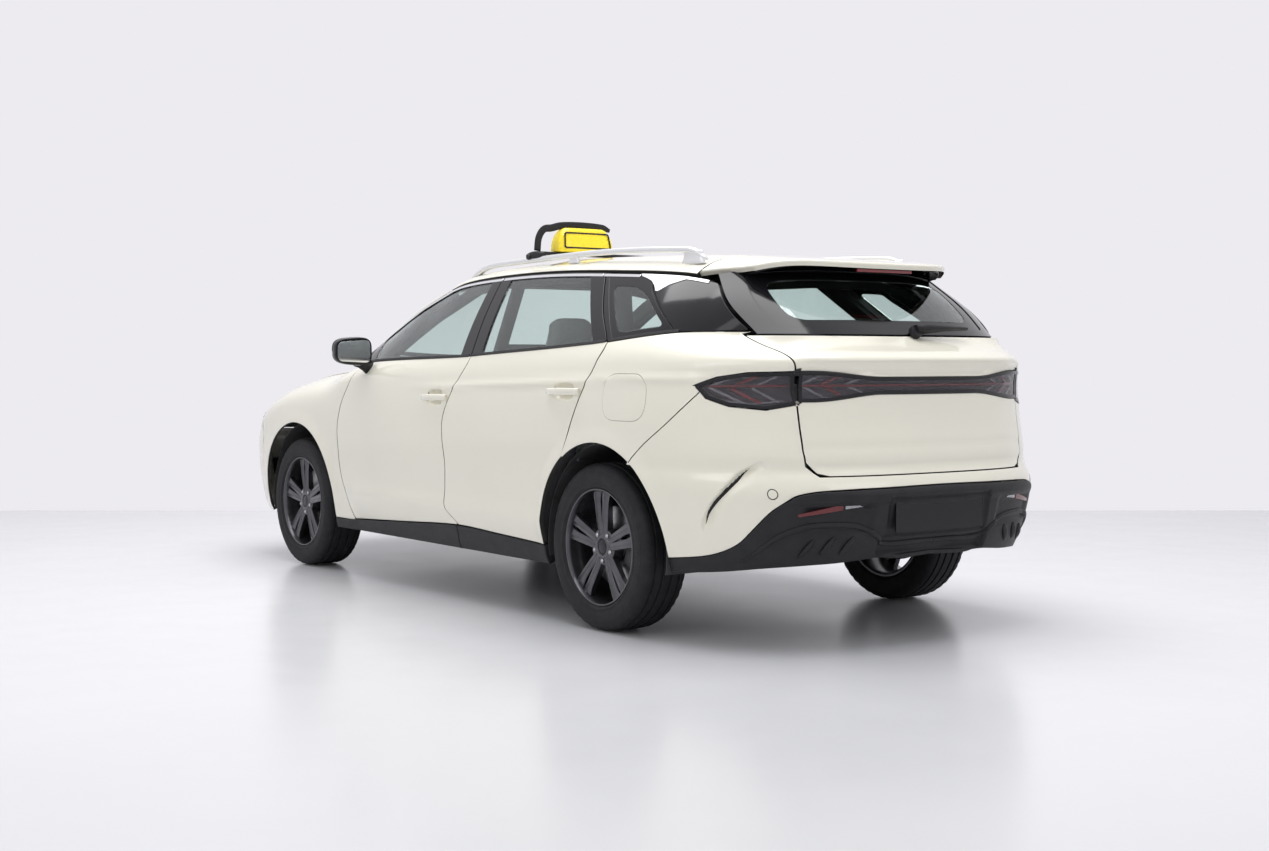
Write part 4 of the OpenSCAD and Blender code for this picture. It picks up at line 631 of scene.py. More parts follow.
CASE = material("battery_case", (0.20, 0.205, 0.215), 0.45, metal=0.8, vary=0.1, scale=12, rough_vary=0.08,
                bump=0.0015,
                bump_scale=18, kind="WAVE")

# library slot and material of the pieces made most
IVORY, SHINY, PLASTIC, PANE = ("ivory_paint", PAINT), ("gloss_black", GLOSS), ("black_plastic",
        BLACK), ("clear_glass", GLASS)

# ---- Camera, floor and light -----------------------------------------------------------------------------------
CAMERA, CAM_DOWN, CAM_YAW = (-6.963, 4.790, 1.091), 2.163, -35.988  # metres and degrees, from the photo's lines
cam = bpy.data.cameras.new("camera")
cam.sensor_width, cam.lens = 36.0, 48.095
cam_ob = bpy.data.objects.new("camera", cam)
cam_ob.location = CAMERA
cam_ob.rotation_euler = (math.radians(90 - CAM_DOWN), 0, math.radians(CAM_YAW - 90))
bpy.context.collection.objects.link(cam_ob)
scene.camera = cam_ob
scene.view_settings.view_transform = "Standard"


def area_light(name, loc, target, size, power, size_y=None):
    lt = bpy.data.lights.new(name, "AREA")
    lt.shape, lt.size, lt.size_y, lt.energy = "RECTANGLE", size, size_y or size, power
    ob = bpy.data.objects.new(name, lt)
    ob.location = loc
    ob.rotation_euler = (Vector(target) - Vector(loc)).to_track_quat("-Z", "Y").to_euler()
    bpy.context.collection.objects.link(ob)


area_light("top_light", (-0.3, 0.3, 6.0), (-0.3, 0.3, 0), 7, 360, 4)
area_light("side_light", (-2.5, 8.5, 4.6), (0, 0, 0.7), 7, 70, 2)
area_light("tail_light", (-9, -2.0, 4.2), (-1, 0, 0.8), 5, 40, 2)



def looked_at(nt):
    """Socket that is 1 for camera, glossy and transmission rays, and 0 for light on its way to a surface."""
    path = nt.nodes.new("ShaderNodeLightPath")
    out = path.outputs["Is Camera Ray"]
    for kind in ("Is Glossy Ray", "Is Transmission Ray"):
        either = nt.nodes.new("ShaderNodeMath")
        either.operation = "MAXIMUM"
        nt.links.new(out, either.inputs[0])
        nt.links.new(path.outputs[kind], either.inputs[1])
        out = either.outputs[0]
    return out


world = bpy.data.worlds.new("studio")
scene.world = world
world.use_nodes = True
wn = world.node_tree
bg = wn.nodes["Background"]
light_bg = wn.nodes.new("ShaderNodeBackground")
sky_tc = wn.nodes.new("ShaderNodeTexCoord")
sky_sep = wn.nodes.new("ShaderNodeSeparateXYZ")
sky_ramp = wn.nodes.new("ShaderNodeValToRGB")
wn.links.new(sky_tc.outputs["Generated"], sky_sep.inputs[0])
wn.links.new(sky_sep.outputs["Z"], sky_ramp.inputs["Fac"])
sky_ramp.color_ramp.elements[0].position, sky_ramp.color_ramp.elements[1].position = 0.0, 0.75
sky_ramp.color_ramp.elements[0].color, sky_ramp.color_ramp.elements[1].color = (0.55, 0.555, 0.57, 1), (0.97, 0.98,
        1.0, 1)
wn.links.new(sky_ramp.outputs["Color"], light_bg.inputs["Color"])
light_bg.inputs["Strength"].default_value = 0.80
bg.inputs["Color"].default_value = (0.845, 0.835, 0.875, 1)
bg.inputs["Strength"].default_value = 1.0
mix = wn.nodes.new("ShaderNodeMixShader")
wn.links.new(looked_at(wn), mix.inputs[0])
wn.links.new(light_bg.outputs[0], mix.inputs[1])
wn.links.new(bg.outputs[0], mix.inputs[2])
wn.links.new(mix.outputs[0], wn.nodes["World Output"].inputs["Surface"])

floor_mat = material("studio_floor", (0.70, 0.70, 0.725), 0.22, vary=0.012, scale=0.8, rough_vary=0.04)
yaw = math.radians(CAM_YAW)
ahead, aside = np.array([math.cos(yaw), math.sin(yaw)]), np.array([-math.sin(yaw), math.cos(yaw)])
# the studio wall starts WALL_AT metres ahead of the photo's camera, curves up and stands WALL_TOP high;
# a camera on its far side sees only the wall
WALL_AT, COVE, WALL_TOP = 12.4, 2.6, 14.0
wall = np.array(CAMERA[:2]) + ahead * WALL_AT
wall_rows = []
for k in range(13):
    a = math.radians(90 * k / 12)
    wall_rows.append((wall + ahead * (COVE * math.sin(a)), COVE * (1 - math.cos(a))))
wall_rows += [(wall + ahead * COVE, WALL_TOP)]


def ground(name, rows):
    me = bpy.data.meshes.new(name)
    me.from_pydata([(*(c + aside * w), h) for c, h in rows for w in (-45, 45)], [],
                   [(2 * i, 2 * i + 1, 2 * i + 3, 2 * i + 2) for i in range(len(rows) - 1)])
    me.polygons.foreach_set("use_smooth", [True] * (len(rows) - 1))
    ob = bpy.data.objects.new(name, me)
    bpy.context.collection.objects.link(ob)
    return ob


floor_ob = ground("studio_floor", [(wall - ahead * 60, 0.0), (wall, 0.0)])
wall_ob = ground("studio_wall", wall_rows)
wall_mat = bpy.data.materials.new("studio_wall")
wall_mat.use_nodes = True
wt = wall_mat.node_tree
wt.nodes["Principled BSDF"].inputs["Base Color"].default_value = (0.72, 0.72, 0.745, 1)
wt.nodes["Principled BSDF"].inputs["Roughness"].default_value = 0.9
glow = wt.nodes.new("ShaderNodeEmission")
glow.inputs["Color"].default_value = (0.845, 0.83, 0.87, 1)
wm = wt.nodes.new("ShaderNodeMixShader")
wt.links.new(looked_at(wt), wm.inputs[0])
wt.links.new(wt.nodes["Principled BSDF"].outputs[0], wm.inputs[1])
wt.links.new(glow.outputs[0], wm.inputs[2])
wt.links.new(wm.outputs[0], wt.nodes["Material Output"].inputs["Surface"])
wall_ob.data.materials.append(wall_mat)
floor_mesh = floor_ob.data
floor_ob.location.z = -0.0005
floor_mesh.materials.append(floor_mat)

# ---- Outlines ------------------------------------------------------------------------------------------------
GAP = 2.9


def up(f, z0, z1, n, d=0.0):
    z = np.linspace(z0, z1, n)
    return np.stack([f(z) + d, z], -1)


def down(f, z0, z1, n, d=0.0):
    return up(f, z0, z1, n, d)[::-1]


def along(x0, x1, n, f):
    x = np.linspace(x0, x1, n)
    return np.stack([x, f(x)], -1)


def arc(cx, cz, r, a0, a1, n):
    a = np.radians(np.linspace(a0, a1, n))
    return np.stack([cx + r * np.cos(a), cz + r * np.sin(a)], -1)


def cat(*parts):
    return np.concatenate([np.asarray(p, float).reshape(-1, 2) for p in parts])


def inset(loop, d):
    loop = resample(np.asarray(loop, float), 12)
    return loop - outward(loop) * d * (1 if area_of(loop) > 0 else -1)


FRONT_WINDOW = rounded(cat(along(-222, 690, 24, lambda x: belt_z(x) + 12), along(735, -180, 30, glass_top)), 10, 3)
REAR_WINDOW = rounded(cat(along(-1250, -410, 24, lambda x: belt_z(x) + 12), along(-340, -975, 24, glass_top)), 10, 3)
QUARTER_WINDOW = cat(along(-1712, -1368, 8, lambda x: belt_z(x) + 10), along(-1092, -1390, 10,
        lambda x: glass_top(x) + 6),
                     [[-1452, 1376]])
D_PANEL = cat([[-1725, 1208], [-1463, 1382], [-1402, 1436], [-1560, 1430], [-1783, 1398], [-2018, 1210]])

# doors: painted skin up to the belt, then a gloss-black window frame
front_skin = cat(up(front_at, 305, 1086, 60, -GAP), along(front_at(1086) - 4, middle_at(1112) + GAP, 50,
                                                          lambda x: belt_z(x) + 1),
                 down(middle_at, 350, 1108, 60, GAP), along(middle_at(350) + 10, front_at(305) - 12, 30,
                                                            lambda x: sill_z(x) + GAP))
rear_skin = cat(up(middle_at, 352, 1112, 60, -GAP), along(middle_at(1112) - GAP, rear_at(1160) + GAP, 50,
                                                          lambda x: belt_z(x) + 1),
                down(rear_at, 790, 1158, 40, GAP), arc(REAR_ARCH, ARCH_Z, ARCH_R + 6, 56, 8, 24),
                along(REAR_ARCH + ARCH_R + 8, middle_at(352) - 12, 24, lambda x: sill_z(x) + GAP))
front_frame = cat(along(middle_at(1115) + GAP, front_at(1090) - 2, 40, lambda x: belt_z(x) + 2),
                  along(front_at(1090) - 2, middle_at(1480) + GAP, 60, lambda x: edge_z(x) - 5),
                  down(middle_at, 1125, 1470, 20, GAP))
rear_frame = cat(along(rear_at(1162) + GAP, middle_at(1115) - GAP, 40, lambda x: belt_z(x) + 2),
                 up(middle_at, 1125, 1470, 20, -GAP), along(middle_at(1480) - GAP, rear_at(1465) + GAP, 30,
                                                            lambda x: edge_z(x) - 5),
                 down(rear_at, 1172, 1455, 24, GAP))
HANDLES = (("front", 40, -186, 926), ("rear", -1026, -1262, 968))  # door, front end, rear end, height
CUPS = {who: rounded([[x0 - 36, z - 38], [x0 - 36, z + 34], [x1 + 52, z + 38], [x1 + 52, z - 34]], 35, 8)
        for who, x0, x1, z in HANDLES}
for who, skin, frm, win in (("front", front_skin, front_frame, FRONT_WINDOW), ("rear", rear_skin, rear_frame,
        REAR_WINDOW)):
    body = f"door_{who}_left"
    lo_x, hi_x = skin[:, 0].min(), skin[:, 0].max()
    panel(body + "_skin", body, *IVORY, side, skin, (body,), sides=2, step=26, depth=22, holes=[CUPS[who]],
          fine=[(lo_x, hi_x, 385, 450, 13), (lo_x, hi_x, 990, 1035, 13)])
    panel(body + "_frame", body, *SHINY, glasshouse, frm, (), sides=2, step=30, depth=14, holes=[win])
    pane = lambda x, z: glasshouse(x, z) - np.array([0, 5, 0])
    panel(body + "_glass", body, *PANE, pane, win,
          (f"door_glass_{who}_left",), sides=2, step=60, depth=4, edge=0.4, back=True)

    # inner card: soft plastic with a cloth insert and an armrest
    inner = lambda x, z: side(x, z) - np.array([0, 84, 0])
    mid_x = (lo_x + hi_x) / 2
    panel(body + "_card", body, "black_plastic", DASH, inner, inset(skin, 16), (), sides=2, step=34, depth=56,
          edge=4, out_from=(mid_x, 3000, 700))
    insert = rounded([[max(lo_x, -1080) + 150, 700], [hi_x - 130, 700], [hi_x - 170, 960],
                      [max(lo_x, -1080) + 170, 960]], 60, 8)
    panel(body + "_card_insert", body, "seat_cloth", SEAT, inner, insert, (), sides=2, step=40, depth=4, edge=3,
          lift=4, out_from=(mid_x, 3000, 700))

# wings, quarters, fuel flap
fender_top = lambda x: np.where(x < 1012, belt_z(x) + 8, np.minimum(bonnet_top(x, bonnet_half(x) + 2.6), 1200))
wing = cat(down(front_at, 290, 1086, 50, GAP),
           [[front_at(290) + 24, 288], [1025, 288]],
           arc(FRONT_X, ARCH_Z, ARCH_R, 188, 27, 60), [[1893, 600], [1893, 690], [1930, 790], [1980, 873],
                                                       [2044, 924]],
           along(2040, 826, 90, fender_top))
panel("wing_left", "body", *IVORY, side, wing, ("front_fenders",), sides=2, step=26, depth=14)
FLAP = rounded([[-1690, 858], [-1420, 858], [-1420, 1042], [-1690, 1042]], 128, 14)


def to_q(xz):
    xz = np.asarray(xz, float)
    return np.stack([tail_qx(xz[:, 0], xz[:, 1]), xz[:, 1]], -1)


def mirrored(half):
    """Closes a half outline, given from the centre's foot to its top, with its mirror image."""
    half = np.asarray(half, float)
    other = half[::-1] * [-1, 1]
    return np.concatenate([half, other[1:-1] if abs(half[0, 0]) < 1e-6 else other])


LAMP_SIDE = [[-1915, 1000], [-1965, 955], [-2050, 925], [-2155, 912], [-2232, 936]]
LAMP_TOP = [[-2232, 1052], [-2100, 1047], [-2000, 1030]]
lamp_in = lambda z: np.array([tail_q(lid_half(z) + GAP, z), z])
seam = lambda z0, z1, n, d: np.array([[tail_q(lid_half(z) + d, z), z] for z in np.linspace(z0, z1, n)])

# quarter: from the rear door round to the tailgate's seam
quarter = cat(to_q(up(rear_at, 704, 1158, 50, -GAP - 1)), to_q(along(-1356, -2025, 40, lambda x: belt_z(x) - 1)),
              seam(1196, 1052, 12, GAP), to_q(np.array(LAMP_TOP) + [0, 4]), to_q([[-1909, 1000], [-1935, 996]]),
              to_q(down(bumper_at, 690, 985, 40, GAP)), to_q(arc(REAR_ARCH, ARCH_Z, ARCH_R, 125, 57, 40)))
panel("quarter_left", "body", *IVORY, tail, quarter, ("quarter_panels",), sides=2, step=24,
      holes=[to_q(FLAP + outward(FLAP if area_of(FLAP) > 0 else FLAP[::-1])[::(1 if area_of(FLAP) > 0 else -1)] * 1.2)])
panel("fuel_flap_skin", "fuel_flap", *IVORY, tail, to_q(FLAP), ("fuel_flap",), step=24,
      edge=1.2)
panel("flap_blank_right", "body", *IVORY, lambda q, z: tail(q, z) * [1, -1, 1], to_q(FLAP), (), step=24, edge=1.2)

# rear bumper
VALANCE = [[0, 622], [190, 620], [540, 612], [650, 596], [700, 568], [750, 532], [810, 464], [855, 412], [930, 372],
           [1020, 352], [1200, 334]]
qs = np.linspace(0, 1195, 90)
val = np.stack([qs, curve(VALANCE, qs)], -1)
arch_rear = to_q(arc(REAR_ARCH, ARCH_Z, ARCH_R, 179.5, 126, 40))
keep = val[:, 0] < arch_rear[0, 0] - 4
bumper_half = cat(val[keep], arch_rear, to_q(up(bumper_at, 692, 985, 40, -GAP)),
                  to_q(np.array([[-1935, 985]])), to_q(np.array(LAMP_SIDE[1:]) + [0, -4]), [lamp_in(944)],
                  seam(940, 700, 12, GAP), [[tail_q(545, 661), 661]], [[0, 661]])
panel("rear_bumper_skin", "body", *IVORY, tail, mirrored(bumper_half), ("rear_bumper",), step=26,
      fine=[(760, 1040, 440, 730, 7), (-1040, -760, 440, 730, 7)])

# tailgate below the glass, in two parts with the light bar between
low_half = cat([[0, 665]], [[tail_q(505, 665), 665]], [[tail_q(548, 675), 675]], seam(715, 930, 14, -GAP),
               [[tail_q(y, 950), bar_low(y) - 1.5] for y in np.linspace(588, 0, 24)])
panel("tailgate_low", "tailgate", *IVORY, tail, mirrored(low_half), (), step=26, depth=30)
high_half = cat([[tail_q(y, 1040), bar_high(y) + 1.5] for y in np.linspace(0, 592, 24)], seam(1062, 1188, 14, -GAP),
                [[tail_q(y, 1190), 1190] for y in np.linspace(640, 0, 20)])
panel("tailgate_high", "tailgate", *IVORY, tail, mirrored(high_half), (), step=22, depth=24)

# light bar and lamps: smoked cover with a black border over a grey bed, a red line and bent strokes
flat_tail = lambda q, z: np.stack([*wrapped(q, z, TAIL_RUN, tail_x(z), -1, 950), z], -1)


def stroke(points, w, n=24):
    """Band of width w along a smooth line of (q, z) points, thinner at its ends."""
    points = np.asarray(points, float)
    k = np.arange(len(points))
    t = np.linspace(0, len(points) - 1, n)
    c = np.stack([np.interp(t, k, points[:, 0]), np.interp(t, k, points[:, 1])], -1)
    d = np.gradient(c, axis=0)
    d /= np.linalg.norm(d, axis=1)[:, None]
    h = w / 2 * np.clip(np.minimum(t, len(points) - 1 - t) * 6 + 0.35, 0, 1)[:, None]
    side_of = np.stack([-d[:, 1], d[:, 0]], -1) * h
    return cat(c + side_of, (c - side_of)[::-1])


def lamp(name, body, outline, replaces, sides, step):
    panel(name + "_cover", body, "lamp_red", SMOKE, flat_tail, outline, replaces, sides=sides, step=step, depth=4,
          lift=0.6, back=True)
    panel(name + "_border", body, *SHINY, flat_tail, inset(outline, 0.2), (), sides=sides, step=14, depth=20, edge=2,
          lift=2.6,
          holes=[inset(outline, 14)])
    panel(name + "_bed", body, "gloss_black", BED, flat_tail, inset(outline, 3), (), sides=sides, step=step, depth=3,
          lift=-17)


BED = material("lamp_bed", (0.075, 0.07, 0.078), 0.3, vary=0.2, scale=40, rough_vary=0.1, bump=0.0006,
               bump_scale=160, kind="WAVE", metal=0.4)
bar_half = cat([[tail_q(y, 950), bar_low(y)] for y in np.linspace(0, 592, 24)],
               [[tail_q(y, 1050), bar_high(y)] for y in np.linspace(592, 0, 24)])
lamp("light_bar", "tailgate", mirrored(bar_half), ("light_bar",), 1, 40)
ys = np.linspace(-585, 585, 60)
line = [[np.sign(y) * float(tail_q(y, 1000)), 1000.0] for y in ys]
panel("light_bar_line", "tailgate", "lamp_red", RED, flat_tail, stroke(line, 9, 80), (), step=30, depth=6, lift=-5)
tq = lambda y, z: [float(tail_q(y, z)), z]
for nm, pts, w, mt in (("inner", [tq(330, 1034), tq(420, 1003), tq(330, 970)], 8, CLEAR),
                       ("middle", [tq(430, 1040), tq(510, 1004), tq(430, 962)], 11, RED),
                       ("outer", [tq(505, 1042), tq(588, 1004), tq(505, 958)], 9, CLEAR),
                       ("high", [tq(120, 1021), tq(300, 1030), tq(575, 1044)], 6, CLEAR),
                       ("low", [tq(120, 979), tq(300, 965), tq(575, 951)], 6, CLEAR)):
    for hand, s in (("left", 1), ("right", -1)):
        panel(f"light_bar_stroke_{nm}_{hand}", "tailgate", "lamp_red", mt, flat_tail,
              stroke(np.array(pts) * [s, 1], w), (), step=24,
              depth=4, edge=0.6, lift=-9)
lamp_outline = rounded(cat(to_q(LAMP_SIDE), [lamp_in(946)], [lamp_in(1050)], to_q(LAMP_TOP)), 16, 4)
lamp("tail_lamp_left", "body", lamp_outline, ("tail_lamps",), 2, 26)
for nm, pts, w, mt in (("line", [[960, 998], [640, 1000]], 8, RED), ("outer", [[850, 1036], [955, 996], [800, 932]],
                                                                     10, CLEAR),
                       ("middle", [[760, 1040], [868, 992], [740, 934]], 13, RED),
                       ("inner", [[680, 1042], [782, 992], [676, 938]], 9, CLEAR),
                       ("high", [[900, 1022], [780, 1036], [640, 1042]], 6, CLEAR),
                       ("low", [[900, 946], [780, 932], [650, 946]], 6, CLEAR)):
    panel(f"tail_lamp_left_stroke_{nm}", "body", "lamp_red", mt, flat_tail, stroke(pts, w), (), sides=2, step=20,
          depth=4, edge=0.6,
          lift=-6 if nm == "line" else -10)

# ---- Roof, glass, pillars ------------------------------------------------------------------------------------
ts = np.linspace(-0.985, 0.985, 61)
roof_out = cat([[240 + 110 * (1 - t * t), t * edge_y(240 + 110 * (1 - t * t))] for t in ts],
               [[x, 0.985 * edge_y(x)] for x in np.linspace(235, -1634, 70)],
               [[-1637, t * edge_y(-1637)] for t in ts[::-1]],
               [[x, -0.985 * edge_y(x)] for x in np.linspace(-1634, 235, 70)])
panel("roof_skin", "body", *IVORY, roof, roof_out, ("roof_panel",), step=48, depth=16, edge=2.5,
      out_from=(-700, 0, 0))
lip = lambda t: -2090 + 235 * abs(t) ** 3.4
sp = [[-1640.5, t * edge_y(-1640)] for t in np.linspace(-0.97, 0.97, 40)]
sp += [[x, 0.97 * (edge_y(x) + (540 - edge_y(x)) * (-1640 - x) / 225)] for x in np.linspace(-1650, -1862, 16)]
sp += [[lip(t), t * 540] for t in np.linspace(0.97, -0.97, 50)]
sp += [[x, -0.97 * (edge_y(x) + (540 - edge_y(x)) * (-1640 - x) / 225)] for x in np.linspace(-1862, -1650, 16)]
panel("spoiler_skin", "tailgate", *IVORY, roof, sp, ("tailgate",), step=34, depth=24, edge=10, out_from=(-1700, 0, 0))
# the spoiler's deep edge keeps the ivory paint in place of the painted gap shade
bpy.data.objects["spoiler_skin"].data.materials[1] = PAINT
sp_low = lambda x, y: np.stack([x, y, roof_top(x, y) - (19 + 41 * np.clip((x + 2090) / 450, 0, 1))], -1)
panel("spoiler_underside", "tailgate", *SHINY, sp_low, np.array(sp) * [0.985, 0.955] + [-12, 0], (), step=50,
      depth=6, edge=2,
      out_from=(-1800, 0, 2600))
brake = lambda y, z: np.stack([lip(0) + 26 + 160 * np.abs(y / 575) ** 4, y, z], -1)
panel("high_brake_lamp", "tailgate", "lamp_red", RED, brake,
      rounded([[-150, 1444], [150, 1444], [150, 1457], [-150, 1457]], 5, 4), (),
      step=12, depth=8, lift=3, out_from=(-1000, 0, 1460))

panel("windscreen_pane", "body", *PANE, screen, rounded([[-930, 60], [930, 60], [955, 950], [-955, 950]], 60, 6),
      ("fixed_glass",),
      step=60, depth=4, edge=0.6, out_from=(0, 0, 600), back=True)
frit_out = [[-985, 15], [985, 15], [985, 985], [-985, 985]]
frit_in = rounded([[-925, 62], [925, 62], [940, 930], [-940, 930]], 60, 6)
panel("windscreen_frit", "body", *SHINY, screen, frit_out, (), step=50, depth=6, edge=0.6, lift=0.8,
      out_from=(0, 0, 600), holes=[frit_in])

rg_out = rounded([[-852, 106], [852, 106], [852, 924], [-852, 924]], 40, 5)
rg_in = rounded([[-728, 215], [728, 215], [752, 800], [-752, 800]], 130, 8)
panel("rear_glass_pane", "tailgate", *PANE, rear, rg_in * 1.03, ("tailgate_glass",), step=60, depth=4, edge=0.6,
      lift=-4.5, out_from=(-1500, 0, 900),
      back=True)
panel("rear_glass_frit", "tailgate", *SHINY, rear, rg_out, (), step=44, depth=5, edge=0.8, lift=-3.5,
      out_from=(-1500, 0, 900), holes=[rg_in])
panel("rear_glass_surround", "tailgate", *SHINY, rear, [[-990, 12], [990, 12], [990, 985], [-990, 985]], (), step=44,
      depth=18, edge=1.5,
      out_from=(-1500, 0, 900), holes=[rg_out * 1.004])

lining = rounded([[120, -540], [120, 540], [-1560, 540], [-1560, -540]], 90, 8)
panel("headlining", "body", "seat_cloth", LINING, lambda x, y: roof(x, y) - np.array([0, 0, 24]), lining, (),
      step=90, depth=6, edge=3,
      out_from=(-700, 0, 5000))
boot_side = rounded([[-1390, 815], [-2040, 815], [-2040, 1120], [-1390, 1120]], 40, 6)
panel("boot_trim_left", "body", "black_plastic", DASH, lambda x, z: side(x, z) - np.array([0, 52, 0]), boot_side, (),
      sides=2, step=50, depth=20,
      edge=4, out_from=(-1700, 3000, 900))

qw = QUARTER_WINDOW
q_in = rounded([[-1652, 1229], [-1395, 1205], [-1180, 1408], [-1345, 1398], [-1440, 1362]], 46, 6)
panel("quarter_pane_left", "body", *PANE, glasshouse, q_in, (), sides=2, step=40, depth=4, edge=0.5, lift=-2.5,
      back=True)
panel("quarter_frit_left", "body", *SHINY, glasshouse, qw, (), sides=2, step=34, depth=5, edge=0.8, lift=-1.5,
      holes=[q_in])
panel("pillar_gloss_left", "body", *SHINY, glasshouse, rounded(D_PANEL, 14, 4), ("pillar_trim",), sides=2, step=30,
      depth=7, edge=1.4)
kink = cat([[x, edge_z(x) - 9] for x in np.linspace(-1320, -1735, 40)],
           [[x, edge_z(x) - 20] for x in np.linspace(-1738, -1610, 16)],
           [[-1590, edge_z(-1590) - 28], [-1540, 1398], [-1497, 1372], [-1480, 1374], [-1452, 1396], [-1415, 1417],
            [-1375, edge_z(-1375) - 27],
            [-1330, edge_z(-1330) - 19]])
panel("kink_trim_left", "body", "rail_metal", SATIN, glasshouse, kink, (), sides=2, step=14, depth=6, edge=1.0,
      lift=3.0)
rear_post = cat(up(rear_at, 1176, 1462, 30, -GAP), along(-1072, -1100, 4, lambda x: edge_z(x) - 6), [[-1104, 1452]],
                [[-1374, 1181]])
panel("rear_post_left", "body", *SHINY, glasshouse, rear_post, (), sides=2, step=24, depth=10, edge=1.2, lift=-1.0)
for who, body, x0, x1 in (("front", "door_front_left", 735, -262), ("rear", "door_rear_left", -276, -1058),
                          ("quarter", "body", -1066, -1316)):
    band = cat(along(x0, x1, 60, lambda x: edge_z(x) - 23), along(x1, x0, 60, lambda x: edge_z(x) - 11))
    panel(f"bright_line_{who}_left", body, "rail_metal", CHROME, glasshouse, band, (), sides=2, step=26, depth=5,
          edge=1.6, lift=2.4)
belt_rubber = lambda x0, x1: cat(along(x0, x1, 50, lambda x: belt_z(x) + 0.5), along(x1, x0, 50,
        lambda x: belt_z(x) + 13))
panel("belt_seal_front_left", "door_front_left", "black_plastic", RUBBER, glasshouse, belt_rubber(-300, 795), (),
      sides=2, step=26, depth=8, edge=2, lift=3)
panel("belt_seal_rear_left", "door_rear_left", "black_plastic", RUBBER, glasshouse, belt_rubber(-1340, -324), (),
      sides=2, step=26, depth=8, edge=2, lift=3)
panel("belt_seal_quarter_left", "body", "black_plastic", RUBBER, glasshouse, belt_rubber(-1735, -1356), (), sides=2,
      step=26, depth=8, edge=2, lift=2)

# painted strip along the windscreen pillar
xs = np.linspace(930, 262, 30)
sweep("screen_pillar_left", "body", *IVORY, np.stack([xs, edge_y(xs) - 6, edge_z(xs) + 1], -1),
      oval(11, 5, 14, tilt=0.5), sides=2)

# ---- Nose, bonnet, wings -------------------------------------------------------------------------------------
fender_top = lambda x: np.where(x < 1012, belt_z(x) + 8, bonnet_top(x, bonnet_half(x) + GAP))
wing = cat(up(front_at, 292, 1084, 60, GAP), along(front_at(1086) + 8, 2040, 90, fender_top),
           [[2046, 925], [1982, 875], [1932, 790], [1895, 690]],
           arc(FRONT_X, ARCH_Z, ARCH_R, 36.5, 187, 90), [[1016, 291]])
panel("wing_left", "body", *IVORY, side, wing, ("front_fenders",), sides=2, step=26, depth=14)
bn = [[1185 + (1012 - 1185) * t * t, t * (bonnet_half(1012) - GAP)] for t in np.linspace(-1, 1, 40)]
bn += [[x, bonnet_half(x) - GAP] for x in np.linspace(1020, 2325, 70)]
bn += [[2330, y] for y in np.linspace(362, -362, 20)]
bn += [[x, -bonnet_half(x) + GAP] for x in np.linspace(2325, 1020, 70)]


def bonnet_pressed(x, y):
    rib = 5 * np.exp(-((np.abs(y) - 330 - (x - 1700) * -0.10) / 42) ** 2) * ease((x - 1150) / 200) * ease((2200 - x) / 250)
    return np.stack([x, y, bonnet_top(x, y) + rib], -1)


panel("bonnet_skin", "bonnet", *IVORY, bonnet_pressed, bn, ("bonnet",), step=40, depth=16, edge=2,
      out_from=(1700, 0, 0))

# front bumper: skin from the sills round the nose, with an intake
lamp_low_z = lambda x: np.interp(x, [1932, 2100, 2240, 2325], [786, 738, 712, 702])
end_q = float(nose_qx(np.array(1862.0), np.array(262.0)))
fb = [[q, 262] for q in np.linspace(0, end_q, 14)]
fa = arc(FRONT_X, ARCH_Z, ARCH_R, 0, 35, 20)
fb += [[float(nose_qx(a, b)), b] for a, b in fa]
fb += [[float(nose_qx(a, b)), b] for a, b in [(1893, 605), (1897, 690), (1931, 783)]]
fb += [[float(nose_qx(x, z)), z] for x, z in zip(np.linspace(1945, 2322, 30),
                                                 lamp_low_z(np.linspace(1945, 2322, 30)) - 4)]
fb += [[float(nose_qx(2325.0, 704.0)), 722], [float(nose_q(365, 735)), 732], [0, 734]]
fb = np.array([p for i, p in enumerate(fb) if i == 0 or np.hypot(*(np.array(p) - fb[i - 1])) > 0.5])
intake = rounded([[-420, 302], [420, 302], [455, 418], [-455, 418]], 24, 6)


def nose_skin(q, z):
    p = nose(q, z)
    side_part = np.stack([p[..., 0], np.sign(q) * side_y(p[..., 0], z), z], -1)
    k = ease((z - 640) / 40)[..., None] * ease((np.abs(p[..., 1]) - 380) / 120)[..., None]
    return p * (1 - k) + side_part * k


panel("front_bumper_skin", "body", *IVORY, nose_skin, mirrored(fb), ("front_bumper",), step=30, depth=14,
      holes=[intake])
panel("intake_surround", "body", *PLASTIC, nose, rounded([[-470, 290], [470, 290], [505, 430], [-505, 430]], 30, 6),
      (), step=40, depth=20,
      lift=2.5, edge=4, holes=[rounded([[-412, 310], [412, 310], [440, 410], [-440, 410]], 22, 6)])
for k in range(5):
    z = 318 + k * 21
    sweep(f"intake_bar_{k}", "body", *PLASTIC,
          [nose(np.array(q), np.array(float(z))) - [16, 0, 0] for q in np.linspace(-430, 430, 24)], oval(7, 3.2, 10))
panel("intake_net", "body", "black_plastic", UNDER, nose, [[-440, 300], [440, 300], [460, 420], [-460, 420]], (),
      step=60, depth=4, lift=-42)
hl = np.array([[1938, 790], [1986, 871], [2048, 917], [2130, 877], [2215, 833], [2288, 785], [2322, 748],
               [2322, 709], [2240, 717], [2100, 743]])
hl_top = lambda x: bonnet_top(x, bonnet_half(x) + 3)
hlz = np.minimum(hl[:, 1], np.where(hl[:, 0] > 2040, hl_top(hl[:, 0]) - 1, 2000))
hl = np.stack([hl[:, 0], hlz], -1)
panel("headlamp_left_cover", "body", "lamp_clear", LENS, side, hl, ("headlamps",), sides=2, step=20, depth=4,
      lift=0.5, back=True)
panel("headlamp_left_bed", "body", *SHINY, side, hl, (), sides=2, step=24, depth=3, lift=-17)
